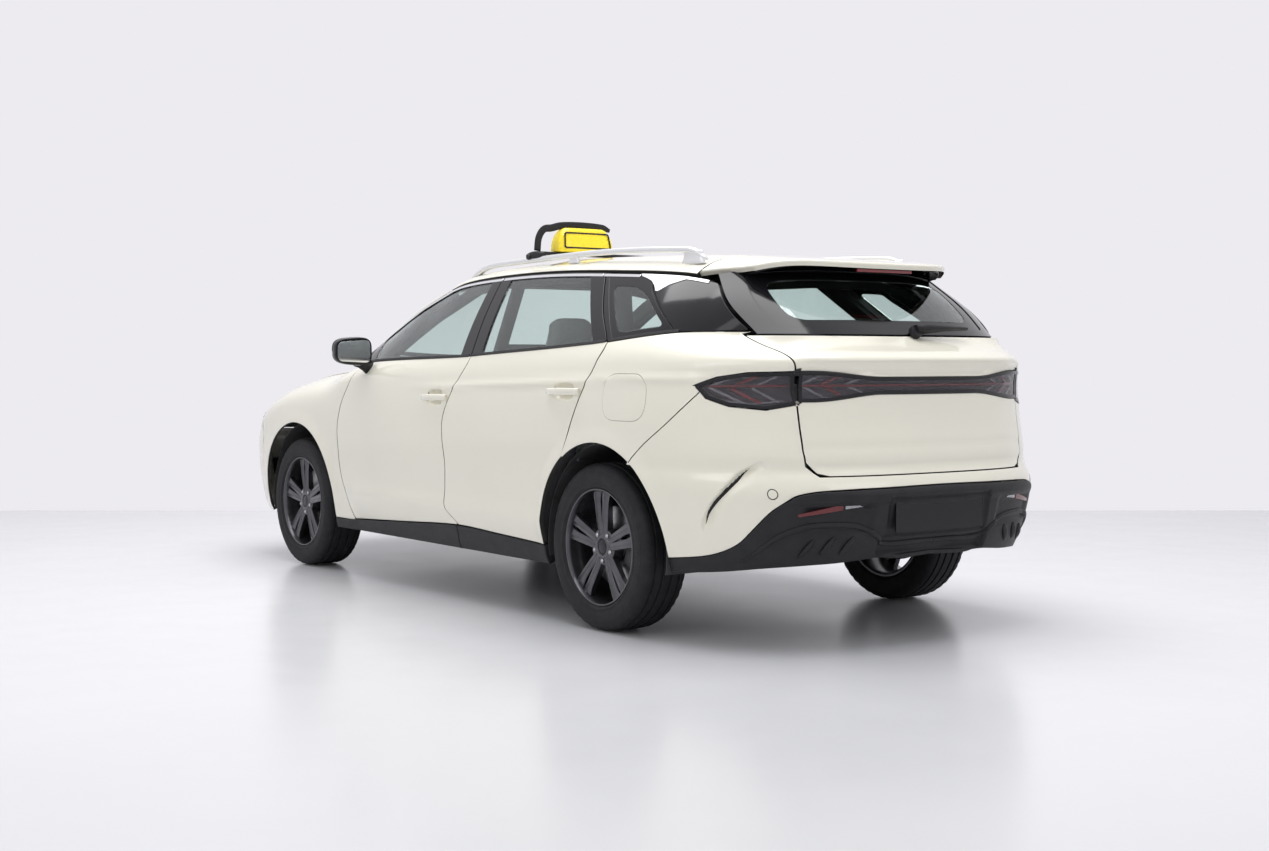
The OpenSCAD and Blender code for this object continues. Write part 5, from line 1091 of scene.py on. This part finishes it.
for k in range(4):
    cx, cz = 2040 + k * 62, 838 - k * 27
    panel(f"headlamp_left_unit_{k}", "body", "lamp_clear", CLEAR, side,
          rounded([[cx - 22, cz - 18], [cx + 22, cz - 26], [cx + 22, cz + 10], [cx - 22, cz + 18]], 12, 5),
          (), sides=2, step=14, depth=5, edge=3, lift=-10)
day = cat([[1948, 792], [2100, 748], [2240, 722], [2316, 713]], [[2316, 720], [2240, 729], [2100, 755], [1952, 800]])
panel("headlamp_left_daylight", "body", "lamp_clear", CLEAR, side, day, (), sides=2, step=18, depth=5, edge=1.5,
      lift=-6)

# ---- Sills, diffuser, plate ----------------------------------------------------------------------------------
def sill_side(x, z):
    zz = np.maximum(z, 300)
    y = door_side_y(x, zz) + 4 + relief(x, zz) * 0.5
    return np.stack([x, y - np.maximum(300 - z, 0) ** 2 * 0.004, z], -1)


for k, (a, b, a1, foot) in enumerate(((-957, -226, -970, -226), (-222, 1019, -222, 1034))):
    so = cat(along(a, b, 40, lambda x: sill_z(x) - GAP), [[foot, 232], [a1, 232]])
    panel(f"sill_cladding_left_{k}", "body", *PLASTIC, sill_side, so, ("sills",), sides=2, step=30, depth=40, edge=6)

dv = np.array([[q, z - GAP] for q, z in val])
FOOT = [[0, 356], [300, 345], [455, 332], [570, 326], [740, 314], [910, 295], [1090, 282], [1200, 282]]
dif = np.stack([qs, curve(FOOT, qs)], -1)


def tail_low(q, z):
    """Black lower bumper: a raised ledge, a recess for the plate, a well each side and a pocket under the plate."""
    x, y = wrapped(q, z, TAIL_RUN, tail_x(z), -1, 950)
    a = np.abs(y)
    ledge = -8 * ease((z - 556) / 8) * ease((606 - z) / 14 + 1) * ease((700 - a) / 50)
    pocket = 26 * ease((430 - z) / 16) * ease((z - 352) / 12) * ease((300 - a) / 24)
    plate = 12 * ease((z - 428) / 5) * ease((580 - z) / 5) * ease((272 - a) / 5)
    well = 14 * ease((z - 440) / 18) * ease((556 - z) / 14) * ease((a - 330) / 24) * ease((640 - a) / 60)
    return np.stack([x + ledge + pocket + plate + well - 3, y, z], -1)


dh = dif[dif[:, 0] < arch_rear[0, 0] - 2]
vh = dv[dv[:, 0] < arch_rear[0, 0] - 2]
dif_half = cat(dh, vh[::-1])
panel("diffuser_skin", "body", *PLASTIC, tail_low, mirrored(dif_half), ("rear_diffuser",), step=15, depth=16, edge=4)
LEDGE = [(0, 400), (75, 400), (260, 402), (320, 440), (395, 474), (525, 483), (615, 475), (695, 448), (745, 414),
         (805, 360), (845, 334)]
for s in (1, -1):
    qs = np.linspace(0, 835, 110) * s
    sweep(f"diffuser_ledge_{'left' if s > 0 else 'right'}", "body", *PLASTIC, tail_low(qs, curve(LEDGE, np.abs(qs))),
          oval(8, 11, 14, 2.4),
          up=(0, 0, 1), scale=0.3 + 0.7 * np.clip((835 - np.abs(qs)) / 120, 0, 1))
for k, (q0, z0) in enumerate(((415, 434), (495, 436), (575, 426))):
    for s in (1, -1):
        fin = [[*(tail_low(np.array(s * (q0 + 46 * t)), np.array(z0 - 66 * t)) - [4 * math.sin(math.pi * t), 0,
                0])] for t in np.linspace(0, 1, 10)]
        sweep(f"diffuser_fin_{k}_{'left' if s > 0 else 'right'}", "body", *PLASTIC, fin, oval(7, 13, 12),
              up=(0, s, 0),
              scale=0.4 + 0.6 * np.sin(np.pi * np.linspace(0.05, 0.95, 10)))
plate_out = rounded([[-239, 443], [239, 443], [239, 563], [-239, 563]], 10, 5)
px = float(tail_x(500))
flat_plate = lambda y, z: np.stack([0 * y + px + 0.5, y, z], -1)
panel("plate_blank", "body", "black_plastic", GLOSS, flat_plate, plate_out, ("number_plate",), step=40, depth=4,
      edge=1, out_from=(0, 0, 500))
panel("plate_rim", "body", *PLASTIC, flat_plate, plate_out, (), step=40, depth=3, edge=0.8, lift=0.8,
      out_from=(0, 0, 500),
      holes=[rounded([[-235, 447], [235, 447], [235, 559], [-235, 559]], 8, 5)])
for s in (1, -1):
    for nm, mt, corners in (("red", REFLEX, [[472, 538], [636, 515], [676, 519], [472, 561]]),
                            ("clear", CLEAR, [[388, 549], [464, 541], [464, 561], [424, 562]])):
        out = rounded(corners, 4, 4) * [s, 1]
        panel(f"reflector_{nm}_{'left' if s > 0 else 'right'}", "body", "lamp_red", mt, flat_tail, out, (), step=14,
              depth=20, edge=1.5, lift=1)
# black band along the bumper's corner seam: painted shade of a shut line, laid on the bumper skin with no gap cut
seam_shade_mid = np.array([[803, 692], [855, 656], [910, 616], [957, 572], [990, 524], [999, 480]], float)
sl = np.stack([curve(np.stack([np.arange(6), seam_shade_mid[:, k]], -1), np.linspace(0, 5, 30)) for k in (0, 1)], -1)
half_w = 6 * np.sin(np.pi * np.linspace(0.02, 0.99, 30)) ** 0.6
seam_shade_band = cat(sl + np.stack([half_w, half_w * 0.8], -1), (sl - np.stack([half_w, half_w * 0.8], -1))[::-1])
panel("corner_slit_left", "body", "black_plastic", GLOSS, tail, seam_shade_band, (), sides=2, step=6, depth=5, edge=0.6,
      lift=0.9)
sensor = np.array([740.0, 600.0])
t = np.linspace(0, 2 * np.pi, 24, endpoint=False)
ring = sensor + 17 * np.stack([np.cos(t), np.sin(t)], -1)
panel("park_sensor_left", "body", *IVORY, tail, ring, (), sides=2, step=8, depth=4, edge=1.5, lift=1.2)
panel("park_sensor_rim_left", "body", *PLASTIC, tail, sensor + (ring - sensor) * 1.2, (), sides=2, step=8, depth=4,
      edge=0.4, lift=0.7,
      holes=[ring])

# ---- Wheels --------------------------------------------------------------------------------------------------
def revolve(prof, n=96, shift=0.0):
    """Closed ring around Y from (radius, y) points."""
    prof = np.asarray(prof, float)
    a = np.linspace(0, 2 * np.pi, n, endpoint=False) + shift
    v = np.stack([np.cos(a)[:, None] * prof[None, :, 0], np.broadcast_to(prof[None, :, 1], (n, len(prof))),
                  np.sin(a)[:, None] * prof[None, :, 0]], -1).reshape(-1, 3)
    return v, tube(n, len(prof), True)


def solid(name, v, f, body, slot, mat, at, side_sign=1, replaces=(), smooth=35):
    v = np.asarray(v, float) * [1, side_sign, 1] + at
    ob = finish_piece(build(name, v, f), body, mat, replaces)
    face_out(ob, 0.00001)
    ob.data.polygons.foreach_set("use_smooth", [True] * len(ob.data.polygons))
    ob.data.set_sharp_from_angle(angle=math.radians(smooth))
    return ob


H = TYRE_W / 2
shoulder = [[RIM_R + 0.5, -H + 15], [RIM_R + 10, -H + 5], [RIM_R + 14, -H + 3.4], [RIM_R + 18, -H + 4.6],
            [RIM_R + 34, -H + 1.2], [RIM_R + 50, -H], [RIM_R + 66, -H + 1.4], [RIM_R + 68, -H + 3],
            [RIM_R + 72, -H + 3.2],
            [TYRE_R - 22, -H + 8], [TYRE_R - 10, -H + 15], [TYRE_R - 4.5, -H + 24], [TYRE_R - 1.2, -H + 34]]
tread = list(shoulder)
for c in (-62, -22, 22, 62):
    tread += [[TYRE_R - 0.4, c - 6], [TYRE_R - 7, c - 4.4], [TYRE_R - 7, c + 4.4], [TYRE_R - 0.4, c + 6]]
tread += [[r, -y] for r, y in reversed(shoulder)]
tread += [[RIM_R + 0.5, H - 30], [RIM_R + 12, H - 34], [RIM_R + 12, 34 - H], [RIM_R + 0.5, 30 - H]]


def tyre_mesh():
    n = 144
    v, f = revolve(tread, n)
    m = len(tread)
    v = v.reshape(n, m, 3)
    # sipes across the shoulders: every third station is let in a little
    for i in range(0, n, 3):
        for j in list(range(10, 14)) + list(range(28, 32)):
            r = np.hypot(v[i, j, 0], v[i, j, 2])
            v[i, j, 0] *= (r - 2.6) / r
            v[i, j, 2] *= (r - 2.6) / r
    return v.reshape(-1, 3), f


barrel = [[RIM_R - 13, 12 - H], [RIM_R - 2, 12 - H], [RIM_R, 15 - H], [RIM_R, 30 - H], [RIM_R - 6, 34 - H],
          [RIM_R - 14, 0], [RIM_R - 6, H - 34],
          [RIM_R, H - 30], [RIM_R, H - 14], [RIM_R - 2, H - 11.5], [RIM_R - 7, H - 12], [RIM_R - 11, H - 20],
          [RIM_R - 14, H - 30],
          [RIM_R - 20, 8], [RIM_R - 20, 20 - H], [RIM_R - 17, 14 - H]]


def spoke(ang, lean):
    """One spoke: a tapering bar with a ridge, dished towards the hub."""
    rows = []
    for s in np.linspace(0, 1, 9):
        r = 50 + (RIM_R - 62) * s
        off = lean * (12 + 20 * s ** 0.8)
        wide = 16.5 + 5 * s + 7 * max(0, s - 0.75) / 0.25
        top = H - 25 - 9 * (1 - s) ** 2 - 4 * max(0, s - 0.85) / 0.15
        thick = 26 + 10 * (1 - s)
        sec = [(-wide, top - 4), (-wide + 3, top - 1), (-2.5, top + 1.5), (0, top + 3.2), (2.5, top + 1.5),
               (wide - 3, top - 1), (wide, top - 4),
               (wide - 4, top - thick), (-wide + 4, top - thick)]
        rows.append([(r, y, off + w) for w, y in sec])
    v = np.array(rows).reshape(-1, 3)
    c, sn = math.cos(ang), math.sin(ang)
    v = np.stack([v[:, 0] * c - v[:, 2] * sn, v[:, 1], v[:, 0] * sn + v[:, 2] * c], -1)
    return v, capped(9, 9, -1)


def join(parts):
    vs, fs, base = [], [], 0
    for v, f in parts:
        vs.append(np.asarray(v, float))
        fs += [tuple(i + base for i in q) for q in f]
        base += len(v)
    return np.concatenate(vs), fs


hub = [[32, H - 92], [76, H - 92], [76, H - 40], [72, H - 35], [50, H - 33], [46, H - 30], [36, H - 29], [32, H - 33]]
cap = [[0.01, H - 31], [22, H - 31.2], [29, H - 32.5], [31.5, H - 35], [31.5, H - 44], [0.01, H - 44]]
rim_parts = [revolve(barrel, 96), revolve(hub, 60)] + [spoke(2 * math.pi * i / 5 + math.radians(90),
                                                             s) for i in range(5) for s in (1, -1)]
web = []
for i in range(5):
    a = 2 * math.pi * i / 5 + math.radians(90)
    q = [(70, -12), (70, 12), (128, 9), (128, -9)]
    v = [(r, y, w) for r, w in q for y in (H - 40, H - 62)]
    v = np.array(v, float)
    c, sn = math.cos(a), math.sin(a)
    v = np.stack([v[:, 0] * c - v[:, 2] * sn, v[:, 1], v[:, 0] * sn + v[:, 2] * c], -1)
    web.append((v, [(0, 2, 4, 6), (1, 7, 5, 3), (0, 1, 3, 2), (2, 3, 5, 4), (4, 5, 7, 6), (6, 7, 1, 0)]))
rim_parts += web
nuts = []
for i in range(5):
    a = 2 * math.pi * i / 5 + math.radians(90 + 36)
    v, f = revolve([[0.01, H - 27], [6, H - 27.4], [9.6, H - 30], [9.6, H - 44], [0.01, H - 44]], 6)
    nuts.append((v + [57.15 * math.cos(a), 0, 57.15 * math.sin(a)], f))
tv, tf = tyre_mesh()
disc = [[60, 20], [60, 26], [70, 30], [160, 30], [163, 28], [163, 10], [160, 8], [70, 8], [64, 12]]
for who, x in (("front", FRONT_X), ("rear", REAR_X)):
    for s, hand in ((1, "left"), (-1, "right")):
        at, body = np.array([x, s * WHEEL_Y, TYRE_R], float), f"wheel_{who}_{hand}"
        solid(f"tyre_{who}_{hand}_ribbed", tv, tf, body, "tyre_rubber", TYRE, at, s, (f"tyre_{who}_{hand}",), 30)
        rv, rf = join(rim_parts)
        solid(f"rim_{who}_{hand}_spoked", rv, rf, body, "rim_alloy", ALLOY, at, s, (f"rim_{who}_{hand}",), 28)
        solid(f"hub_cap_{who}_{hand}", *revolve(cap, 40), body, "rim_alloy", GLOSS, at, s)
        solid(f"wheel_nuts_{who}_{hand}", *join(nuts), body, "rim_alloy", STEEL, at, s)
        dv_, df_ = revolve(disc, 72)
        solid(f"brake_disc_{who}_{hand}", dv_ - [0, 12, 0], df_, body, "underbody_steel", STEEL, at, s)
        hold = f"knuckle_{hand}" if who == "front" else "body"
        cal = [[118 * math.cos(a), 118 * math.sin(a)] for a in np.linspace(math.radians(150), math.radians(215), 12)]
        sec = np.array([(-26, -30), (30, -30), (36, -24), (36, 22), (30, 28), (-22, 28), (-26, 22)], float)
        cv = np.array([[cx * (118 + d) / 118, 8 + y * 0.8, cz * (118 + d) / 118] for cx, cz in cal for d, y in sec])
        solid(f"brake_caliper_{who}_{hand}", cv, capped(len(cal), len(sec), -1), hold, "underbody_steel", CAST, at, s)

# ---- Rails, sign, mirrors, handles, wiper --------------------------------------------------------------------
RAIL = np.array([[235, 548, 1500], [60, 562, 1552], [-220, 566, 1566], [-955, 572, 1575], [-1500, 566, 1557],
                 [-1570, 560, 1543], [-1622, 552, 1510]], float)
rx = np.linspace(232, -1628, 70)
ry, rz = curve(RAIL[::-1][:, [0, 1]], rx), curve(RAIL[::-1][:, [0, 2]], rx) - 12
ends = np.clip(np.minimum(232 - rx, rx + 1628) / 60, 0, 1)
sweep("roof_rail_left", "body", "rail_metal", SATIN, np.stack([rx, ry, rz], -1), oval(15, 13, 18), sides=2,
      replaces=("roof_rails",),
      scale=0.35 + 0.65 * np.sqrt(ends))
for k, x in enumerate((215, -700, -1545)):
    z1 = float(curve(RAIL[::-1][:, [0, 2]], x)) - 12
    z0 = float(roof_top(np.array(float(x)), np.array(563.0))) - 5
    yy = float(curve(RAIL[::-1][:, [0, 1]], x))
    long = 36 if k == 1 else 62
    rows, wide = [], []
    for t in np.linspace(0, 1, 6):
        rows.append([x - (20 if k == 0 else 0), yy - 2, z0 + (z1 - z0) * t])
        wide.append(1.25 - 0.3 * math.sin(math.pi * t / 1.6))
    sweep(f"rail_foot_left_{k}", "body", "rail_metal", SATIN, rows, oval(11, long, 20), up=(1, 0, 0), sides=2,
          scale=wide)

BX, BZ = -375, 1589
sweep("sign_bar_beam", "body", *PLASTIC, [[BX, y, BZ] for y in np.linspace(-567, 567, 24)], oval(19, 8.5, 16, 4),
      replaces=("sign_bar",))
for hand, s in (("left", 1), ("right", -1)):
    foot = [[BX - 68 + t, s * 567, 1572 + 6 * math.sin(math.pi * t / 128)] for t in np.linspace(0, 128, 14)]
    sweep(f"sign_bar_clamp_{hand}", "body", *PLASTIC, foot, oval(19, 19, 18, 3.6),
          scale=0.55 + 0.45 * np.sin(np.pi * np.linspace(0.06, 0.94, 14)) ** 0.5)
    cv, cf = revolve([[0.01, 0], [11, 0], [13, -3], [13, -9], [0.01, -9]], 24)
    solid(f"sign_bar_knob_{hand}", cv, cf, "body", "black_plastic", RUBBER, np.array([BX + 30, s * 592.0, 1571]), s)
ap = np.array([[556, 1600], [548, 1660], [520, 1700], [478, 1708], [420, 1721], [310, 1725], [200, 1720],
               [150, 1708]], float)
tt = np.linspace(0, 7, 50)
ay, az = np.array([curve(np.stack([np.arange(8), ap[:, 0]], -1),
                         t) for t in tt]), np.array([curve(np.stack([np.arange(8), ap[:, 1]], -1), t) for t in tt])
sweep("sign_arm", "body", *PLASTIC, np.stack([0 * tt + BX + 3, ay, az], -1), oval(17, 5.2, 14, 4), up=(1, 0, 0),
      scale=np.clip(0.5 + (7 - tt) * 0.6, 0, 1))
# sign: rounded box, wider at its foot, with a bare black face each way
SY, SZ, SW, SH = 310, BZ + 9.3, 310, 112


def sign_ring(k):
    """Half depth and half width at height share k."""
    return 54 - 20 * k ** 1.4, SW / 2 - 40 * k ** 3


rows = []
prof = [(0, 0.93), (0.02, 0.99), (0.06, 1.0), (0.2, 1.0), (0.4, 1.0), (0.6, 1.0), (0.78, 0.985), (0.9, 0.95),
        (0.97, 0.86), (1.0, 0.7)]
for k, g in prof:
    hx, hy = sign_ring(k)
    o = oval(hx * g, hy * (1 - (1 - g) * 0.4), 48, 5)
    rows.append(np.stack([BX + o[:, 0], SY + o[:, 1], np.full(48, SZ + SH * k)], -1))
rows = np.array(rows)
nv = rows.reshape(-1, 3)
solid("taxi_sign_shell", nv, capped(len(prof), 48), "body", "sign_yellow", YELLOW, np.zeros(3), 1, ("taxi_sign",), 50)
for s, nm in ((-1, "rear"), (1, "front")):
    face = lambda y, z, s=s: np.stack([BX + s * (54 - 20 * np.clip((z - SZ) / SH, 0, 1) ** 1.4 + 0.4), y, z], -1)
    out = rounded([[SY - 132, SZ + 16], [SY + 132, SZ + 16], [SY + 124, SZ + 92], [SY - 124, SZ + 92]], 14, 6)
    panel(f"sign_face_{nm}", "body", *PLASTIC, face, out, (), step=24, depth=3, edge=1, lift=1.0,
          out_from=(BX, SY, SZ + 40),
          holes=[inset(out, 7)])

MX, MY, MZ = 645, 1000, 1140


def mirror_rows():
    rows = []
    for t in np.linspace(0, 1, 12):
        x = -42 + 114 * t
        g = (1 - max(0, t - 0.15) ** 2.2 * 0.62)
        e = 1.0 if t > 0.04 else 0.965
        a = np.linspace(0, 2 * np.pi, 40, endpoint=False)
        y = 100 * g * e * pow_of(np.cos(a), 3.6)
        z = 68 * g * e * pow_of(np.sin(a), 3.6)
        z = z * (1 - 0.10 * (y / 100)) + 5 * t
        rows.append(np.stack([MX + x + 0 * y, MY + y - 4 * t, MZ + z], -1))
    return np.array(rows)


mr = mirror_rows()
mv = mr.reshape(-1, 3)
mf = capped(12, 40)
gl = lambda y, z: np.stack([0 * y + MX - 41, y, z], -1)
glass_out = rounded([[MY - 88, MZ - 56], [MY + 88, MZ - 48], [MY + 88, MZ + 46], [MY - 88, MZ + 58]], 30, 8)
for s, hand in ((1, "left"), (-1, "right")):
    body = f"door_front_{hand}"
    solid(f"mirror_{hand}_housing", mv, mf, body, *SHINY, np.zeros(3), s, (f"mirror_{hand}",), 40)
    d = panel_mesh(gl, glass_out, step=26, depth=3, edge=1.2, lift=1.2, out_from=(3000, MY, MZ))
    if s < 0:
        d = flip(*d)
    finish_piece(build(f"mirror_{hand}_glass", *d), body, CHROME)
    arm_path = [np.array([MX + 22, s * y, z]) for y, z in ((882, 1058), (905, 1072), (930, 1086), (955, 1098))]
    sweep(f"mirror_{hand}_arm", body, *SHINY, arm_path, oval(34, 15, 16), up=(1, 0, 0), scale=[1.1, 0.95, 0.9, 1.0])
    lv = np.array([[p[0] + 1.5, MY + (p[1] - MY) * 1.02, MZ + (p[2] - MZ) * 1.03] for r in mr[4:11] for p in r[:21]])
    lf = [(i * 21 + j, i * 21 + j + 1, (i + 1) * 21 + j + 1, (i + 1) * 21 + j) for i in range(6) for j in range(20)]
    solid(f"mirror_{hand}_cap", lv, lf, body, "rail_metal", SATIN, np.zeros(3), s)

for who, x0, x1, z in HANDLES:
    xs = np.linspace(x0, x1, 30)
    t = np.linspace(0, 1, 30)
    y = side(xs, np.full(30, float(z)))[:, 1] + 3 + 20 * np.sin(np.pi * np.clip(t, 0.02, 0.98)) ** 0.35
    zz = z + 3 * (t - 0.5)
    sweep(f"handle_{who}_left", f"door_{who}_left", *IVORY, np.stack([xs, y, zz], -1), oval(9, 15, 16, 3), sides=2,
          scale=0.80 + 0.20 * np.sin(np.pi * t) ** 0.4)
    arm_x = np.linspace(x1 + 110, x0 + 420, 16)
    sweep(f"door_{who}_left_armrest", f"door_{who}_left", "black_plastic", DASH, side(arm_x,
            np.full(16, 690.0)) - [0, 96, 0], oval(24, 20, 18, 3),
          sides=2, scale=0.45 + 0.55 * np.sin(np.pi * np.linspace(0.05, 0.95, 16)) ** 0.5)
    cup = CUPS[who]
    panel(f"handle_cup_{who}_left", f"door_{who}_left", *IVORY,
          lambda x, zz, cx=(x0 + x1) / 2, cz=z: side(x,
                                                     zz) - np.stack([0 * x, 34 * np.maximum(0,
                                                             1 - ((x - cx) / 94) ** 2 - ((zz - cz) / 37) ** 2),
                                                             0 * x], -1),
          cup, (), sides=2, step=6, depth=1.0, edge=0.3, lift=-0.2)

wip = np.array([[-2196, -36, 1214], [-2203, -110, 1220], [-2204, -200, 1222], [-2200, -328, 1222]], float)
sweep("wiper_arm", "tailgate", *PLASTIC, wip, oval(13, 9, 12, 3), scale=[2.0, 1.6, 1.0, 0.6], up=(0.5, 0, 0.85),
      replaces=("rear_wiper",))
v, f = revolve([[0.01, 0], [24, 0], [27, -5], [27, -22], [0.01, -22]], 30)
ang = math.radians(60)
v = np.stack([v[:, 0], v[:, 2], v[:, 1]], -1)
v = np.stack([v[:, 0] * math.cos(ang) - v[:, 2] * math.sin(ang), v[:, 1], v[:, 0] * math.sin(ang) + v[:,
        2] * math.cos(ang)], -1)
solid("wiper_cover", v, f, "tailgate", *PLASTIC, np.array([-2209, -40, 1213.0]))

# ---- Cabin ---------------------------------------------------------------------------------------------------
def pad(name, rows, swell=0.012):
    """Cushion from a stack of closed outlines; simulated as pressed fabric."""
    rows = np.asarray(rows, float)
    m, n = rows.shape[:2]
    ob = build(name, rows.reshape(-1, 3), capped(m, n))
    face_out(ob)
    rm = ob.modifiers.new("even", "REMESH")
    rm.mode, rm.voxel_size = "VOXEL", 0.014
    apply_mods(ob)
    start = np.empty(len(ob.data.vertices) * 3)
    ob.data.vertices.foreach_get("co", start)
    cl = ob.modifiers.new("fabric", "CLOTH")
    cl.settings.use_pressure = True
    cl.settings.uniform_pressure_force = 4
    cl.settings.effector_weights.gravity = 0
    for fr in range(1, 21):
        scene.frame_set(fr)
    apply_mods(ob)
    scene.frame_set(1)
    end = np.empty_like(start)
    ob.data.vertices.foreach_get("co", end)
    d = (end - start).reshape(-1, 3)
    k = np.minimum(1, swell / np.maximum(np.linalg.norm(d, axis=1), 1e-9))[:, None]
    ob.data.vertices.foreach_set("co", (start.reshape(-1, 3) + d * k).ravel())
    sm = ob.modifiers.new("soft", "SMOOTH")
    sm.factor, sm.iterations = 0.5, 3
    apply_mods(ob)
    ob.data.polygons.foreach_set("use_smooth", [True] * len(ob.data.polygons))
    finish_piece(ob, "body", SEAT)
    return ob


def apply_mods(ob):
    dg = bpy.context.evaluated_depsgraph_get()
    me = bpy.data.meshes.new_from_object(ob.evaluated_get(dg))
    ob.modifiers.clear()
    ob.data = me


def cushion_rows(x0, x1, y, w, z0, z1, drop=0.0, n=44):
    """Seat base, crowned, with side bolsters; outline stacked upwards."""
    rows = []
    for t in np.linspace(0, 1, 8):
        g = 1 - 0.5 * (2 * t - 1) ** 6 * 0.22
        o = oval((x1 - x0) / 2 * g, w / 2 * g, n, 6)
        cx = (x0 + x1) / 2
        z = z0 + (z1 - z0) * t + drop * o[:, 0] / (x1 - x0)
        if t > 0.6:
            z = z + 26 * (np.abs(o[:, 1]) / (w / 2)) ** 3 - 8
        rows.append(np.stack([cx + o[:, 0], y + o[:, 1], z], -1))
    return rows


def back_rows(x0, z0, x1, z1, y, w, thick, n=40):
    """Backrest leaning from (x0, z0) to (x1, z1)."""
    rows = []
    for t in np.linspace(0, 1, 12):
        g = (1 - 0.16 * t) * (1 - 0.35 * max(0, t - 0.88) / 0.12) * (1 - 0.2 * max(0, 0.06 - t) / 0.06)
        o = oval(thick / 2 * (1 - 0.25 * t) * (1 - 0.3 * max(0, t - 0.9) / 0.1), w / 2 * g, n, 4.4)
        bolster = 20 * (np.abs(o[:, 1]) / (w / 2)) ** 3 * (o[:, 0] > 0)
        rows.append(np.stack([x0 + (x1 - x0) * t + o[:, 0] + bolster, y + o[:, 1], np.full(n, z0 + (z1 - z0) * t)],
                             -1))
    return rows


for hand, s in (("left", 1), ("right", -1)):
    y = 372 * s
    pad(f"front_cushion_{hand}", cushion_rows(-160, 338, y, 494, 452, 540, 26))
    pad(f"front_back_{hand}", back_rows(-182, 500, -366, 1092, y, 470, 104))
    pad(f"front_headrest_{hand}", back_rows(-362, 1134, -384, 1292, y, 250, 80))
pad("bench_cushion", cushion_rows(-960, -470, 0, 1290, 448, 536, 24))
for hand, y in (("left", 330), ("right", -330)):
    pad(f"bench_back_{hand}", back_rows(-1000, 500, -1160, 1000, y, 610, 100))
for k, y in enumerate((400, -400)):
    pad(f"bench_headrest_{k}", back_rows(-1160, 1050, -1178, 1165, y, 220, 78))
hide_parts("seats")
for k, (x, y, z) in enumerate([(-364, 372, 1078), (-364, -372, 1078), (-1160, 400, 990), (-1160, -400, 990)]):
    for j, d in enumerate((-40, 40)):
        sweep(f"headrest_post_{k}_{j}", "body", "rail_metal", STEEL, [[x, y + d, z], [x - 4, y + d, z + 40],
                                                                      [x - 8, y + d, z + 80]], oval(6, 6, 12, 2))


def wheel_frame(p):
    p = np.asarray(p, float)
    a = math.radians(-66)
    x = p[:, 0] * math.cos(a) + p[:, 2] * math.sin(a)
    z = -p[:, 0] * math.sin(a) + p[:, 2] * math.cos(a)
    return np.stack([x + 470, p[:, 1] + 370, z + 960], -1)


def ring_mesh(R, a, b, n=64, m=16):
    th = np.linspace(0, 2 * np.pi, n, endpoint=False)
    o = oval(a, b, m, 2.2)
    v = np.array([[(R + p) * math.cos(t), (R + p) * math.sin(t), q] for t in th for p, q in o])
    return v, tube(n, m, True)


v, f = ring_mesh(171, 13, 14)
solid("steering_rim", wheel_frame(v), f, "steering_wheel", "dash_plastic", RUBBER, np.zeros(3), 1,
      ("steering_wheel",), 60)
hub_rows = []
for t in np.linspace(0, 1, 7):
    g = 1 - 0.45 * max(0, t - 0.5) ** 2 * 4 * 0.5
    o = oval(60 * g, 66 * g, 32, 3)
    hub_rows.append(np.stack([o[:, 0], o[:, 1], np.full(32, -22 + 30 * t)], -1))
hub_rows = np.array(hub_rows)
solid("steering_hub", wheel_frame(hub_rows.reshape(-1, 3)), capped(7, 32), "steering_wheel", "dash_plastic", DASH,
      np.zeros(3))
for k, a in enumerate((90, -90, 180)):
    p = [np.array([math.cos(math.radians(a)) * r, math.sin(math.radians(a)) * r, -1]) for r in np.linspace(44, 166,
            8)]
    sweep(f"steering_spoke_{k}", "steering_wheel", "dash_plastic", DASH, wheel_frame(p), oval(14, 6, 12, 3),
          up=(0.9, 0, -0.4),
          scale=[1.2, 1.05, 0.95, 0.9, 0.88, 0.9, 0.95, 1.05])
sweep("steering_column_end", "steering_wheel", "dash_plastic", DASH,
      wheel_frame([[0, 0, -22], [0, 0, -48], [0, 0, -74]]), oval(20, 20, 20, 2), up=(0, 1, 0))

# ---- CAD nodes that keep their shape -------------------------------------------------------------------------
# body_frame is coloured black, not ivory like the real body: painted shade where the frame shows through the gaps and
# openings
KEEP = {"body_frame": BLACK, "floor_pan": UNDER, "wheel_liners": UNDER, "drive_unit": CAST, "battery_pack": CASE,
        "front_subframe": UNDER,
        "rear_axle": CAST, "dashboard": DASH, "cowl": BLACK, "knuckle_left": CAST, "knuckle_right": CAST}
for node, mat in KEEP.items():
    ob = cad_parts[node]
    slots = ob.data.materials
    if len(slots):
        for i in range(len(slots)):
            slots[i] = mat
    else:
        slots.append(mat)
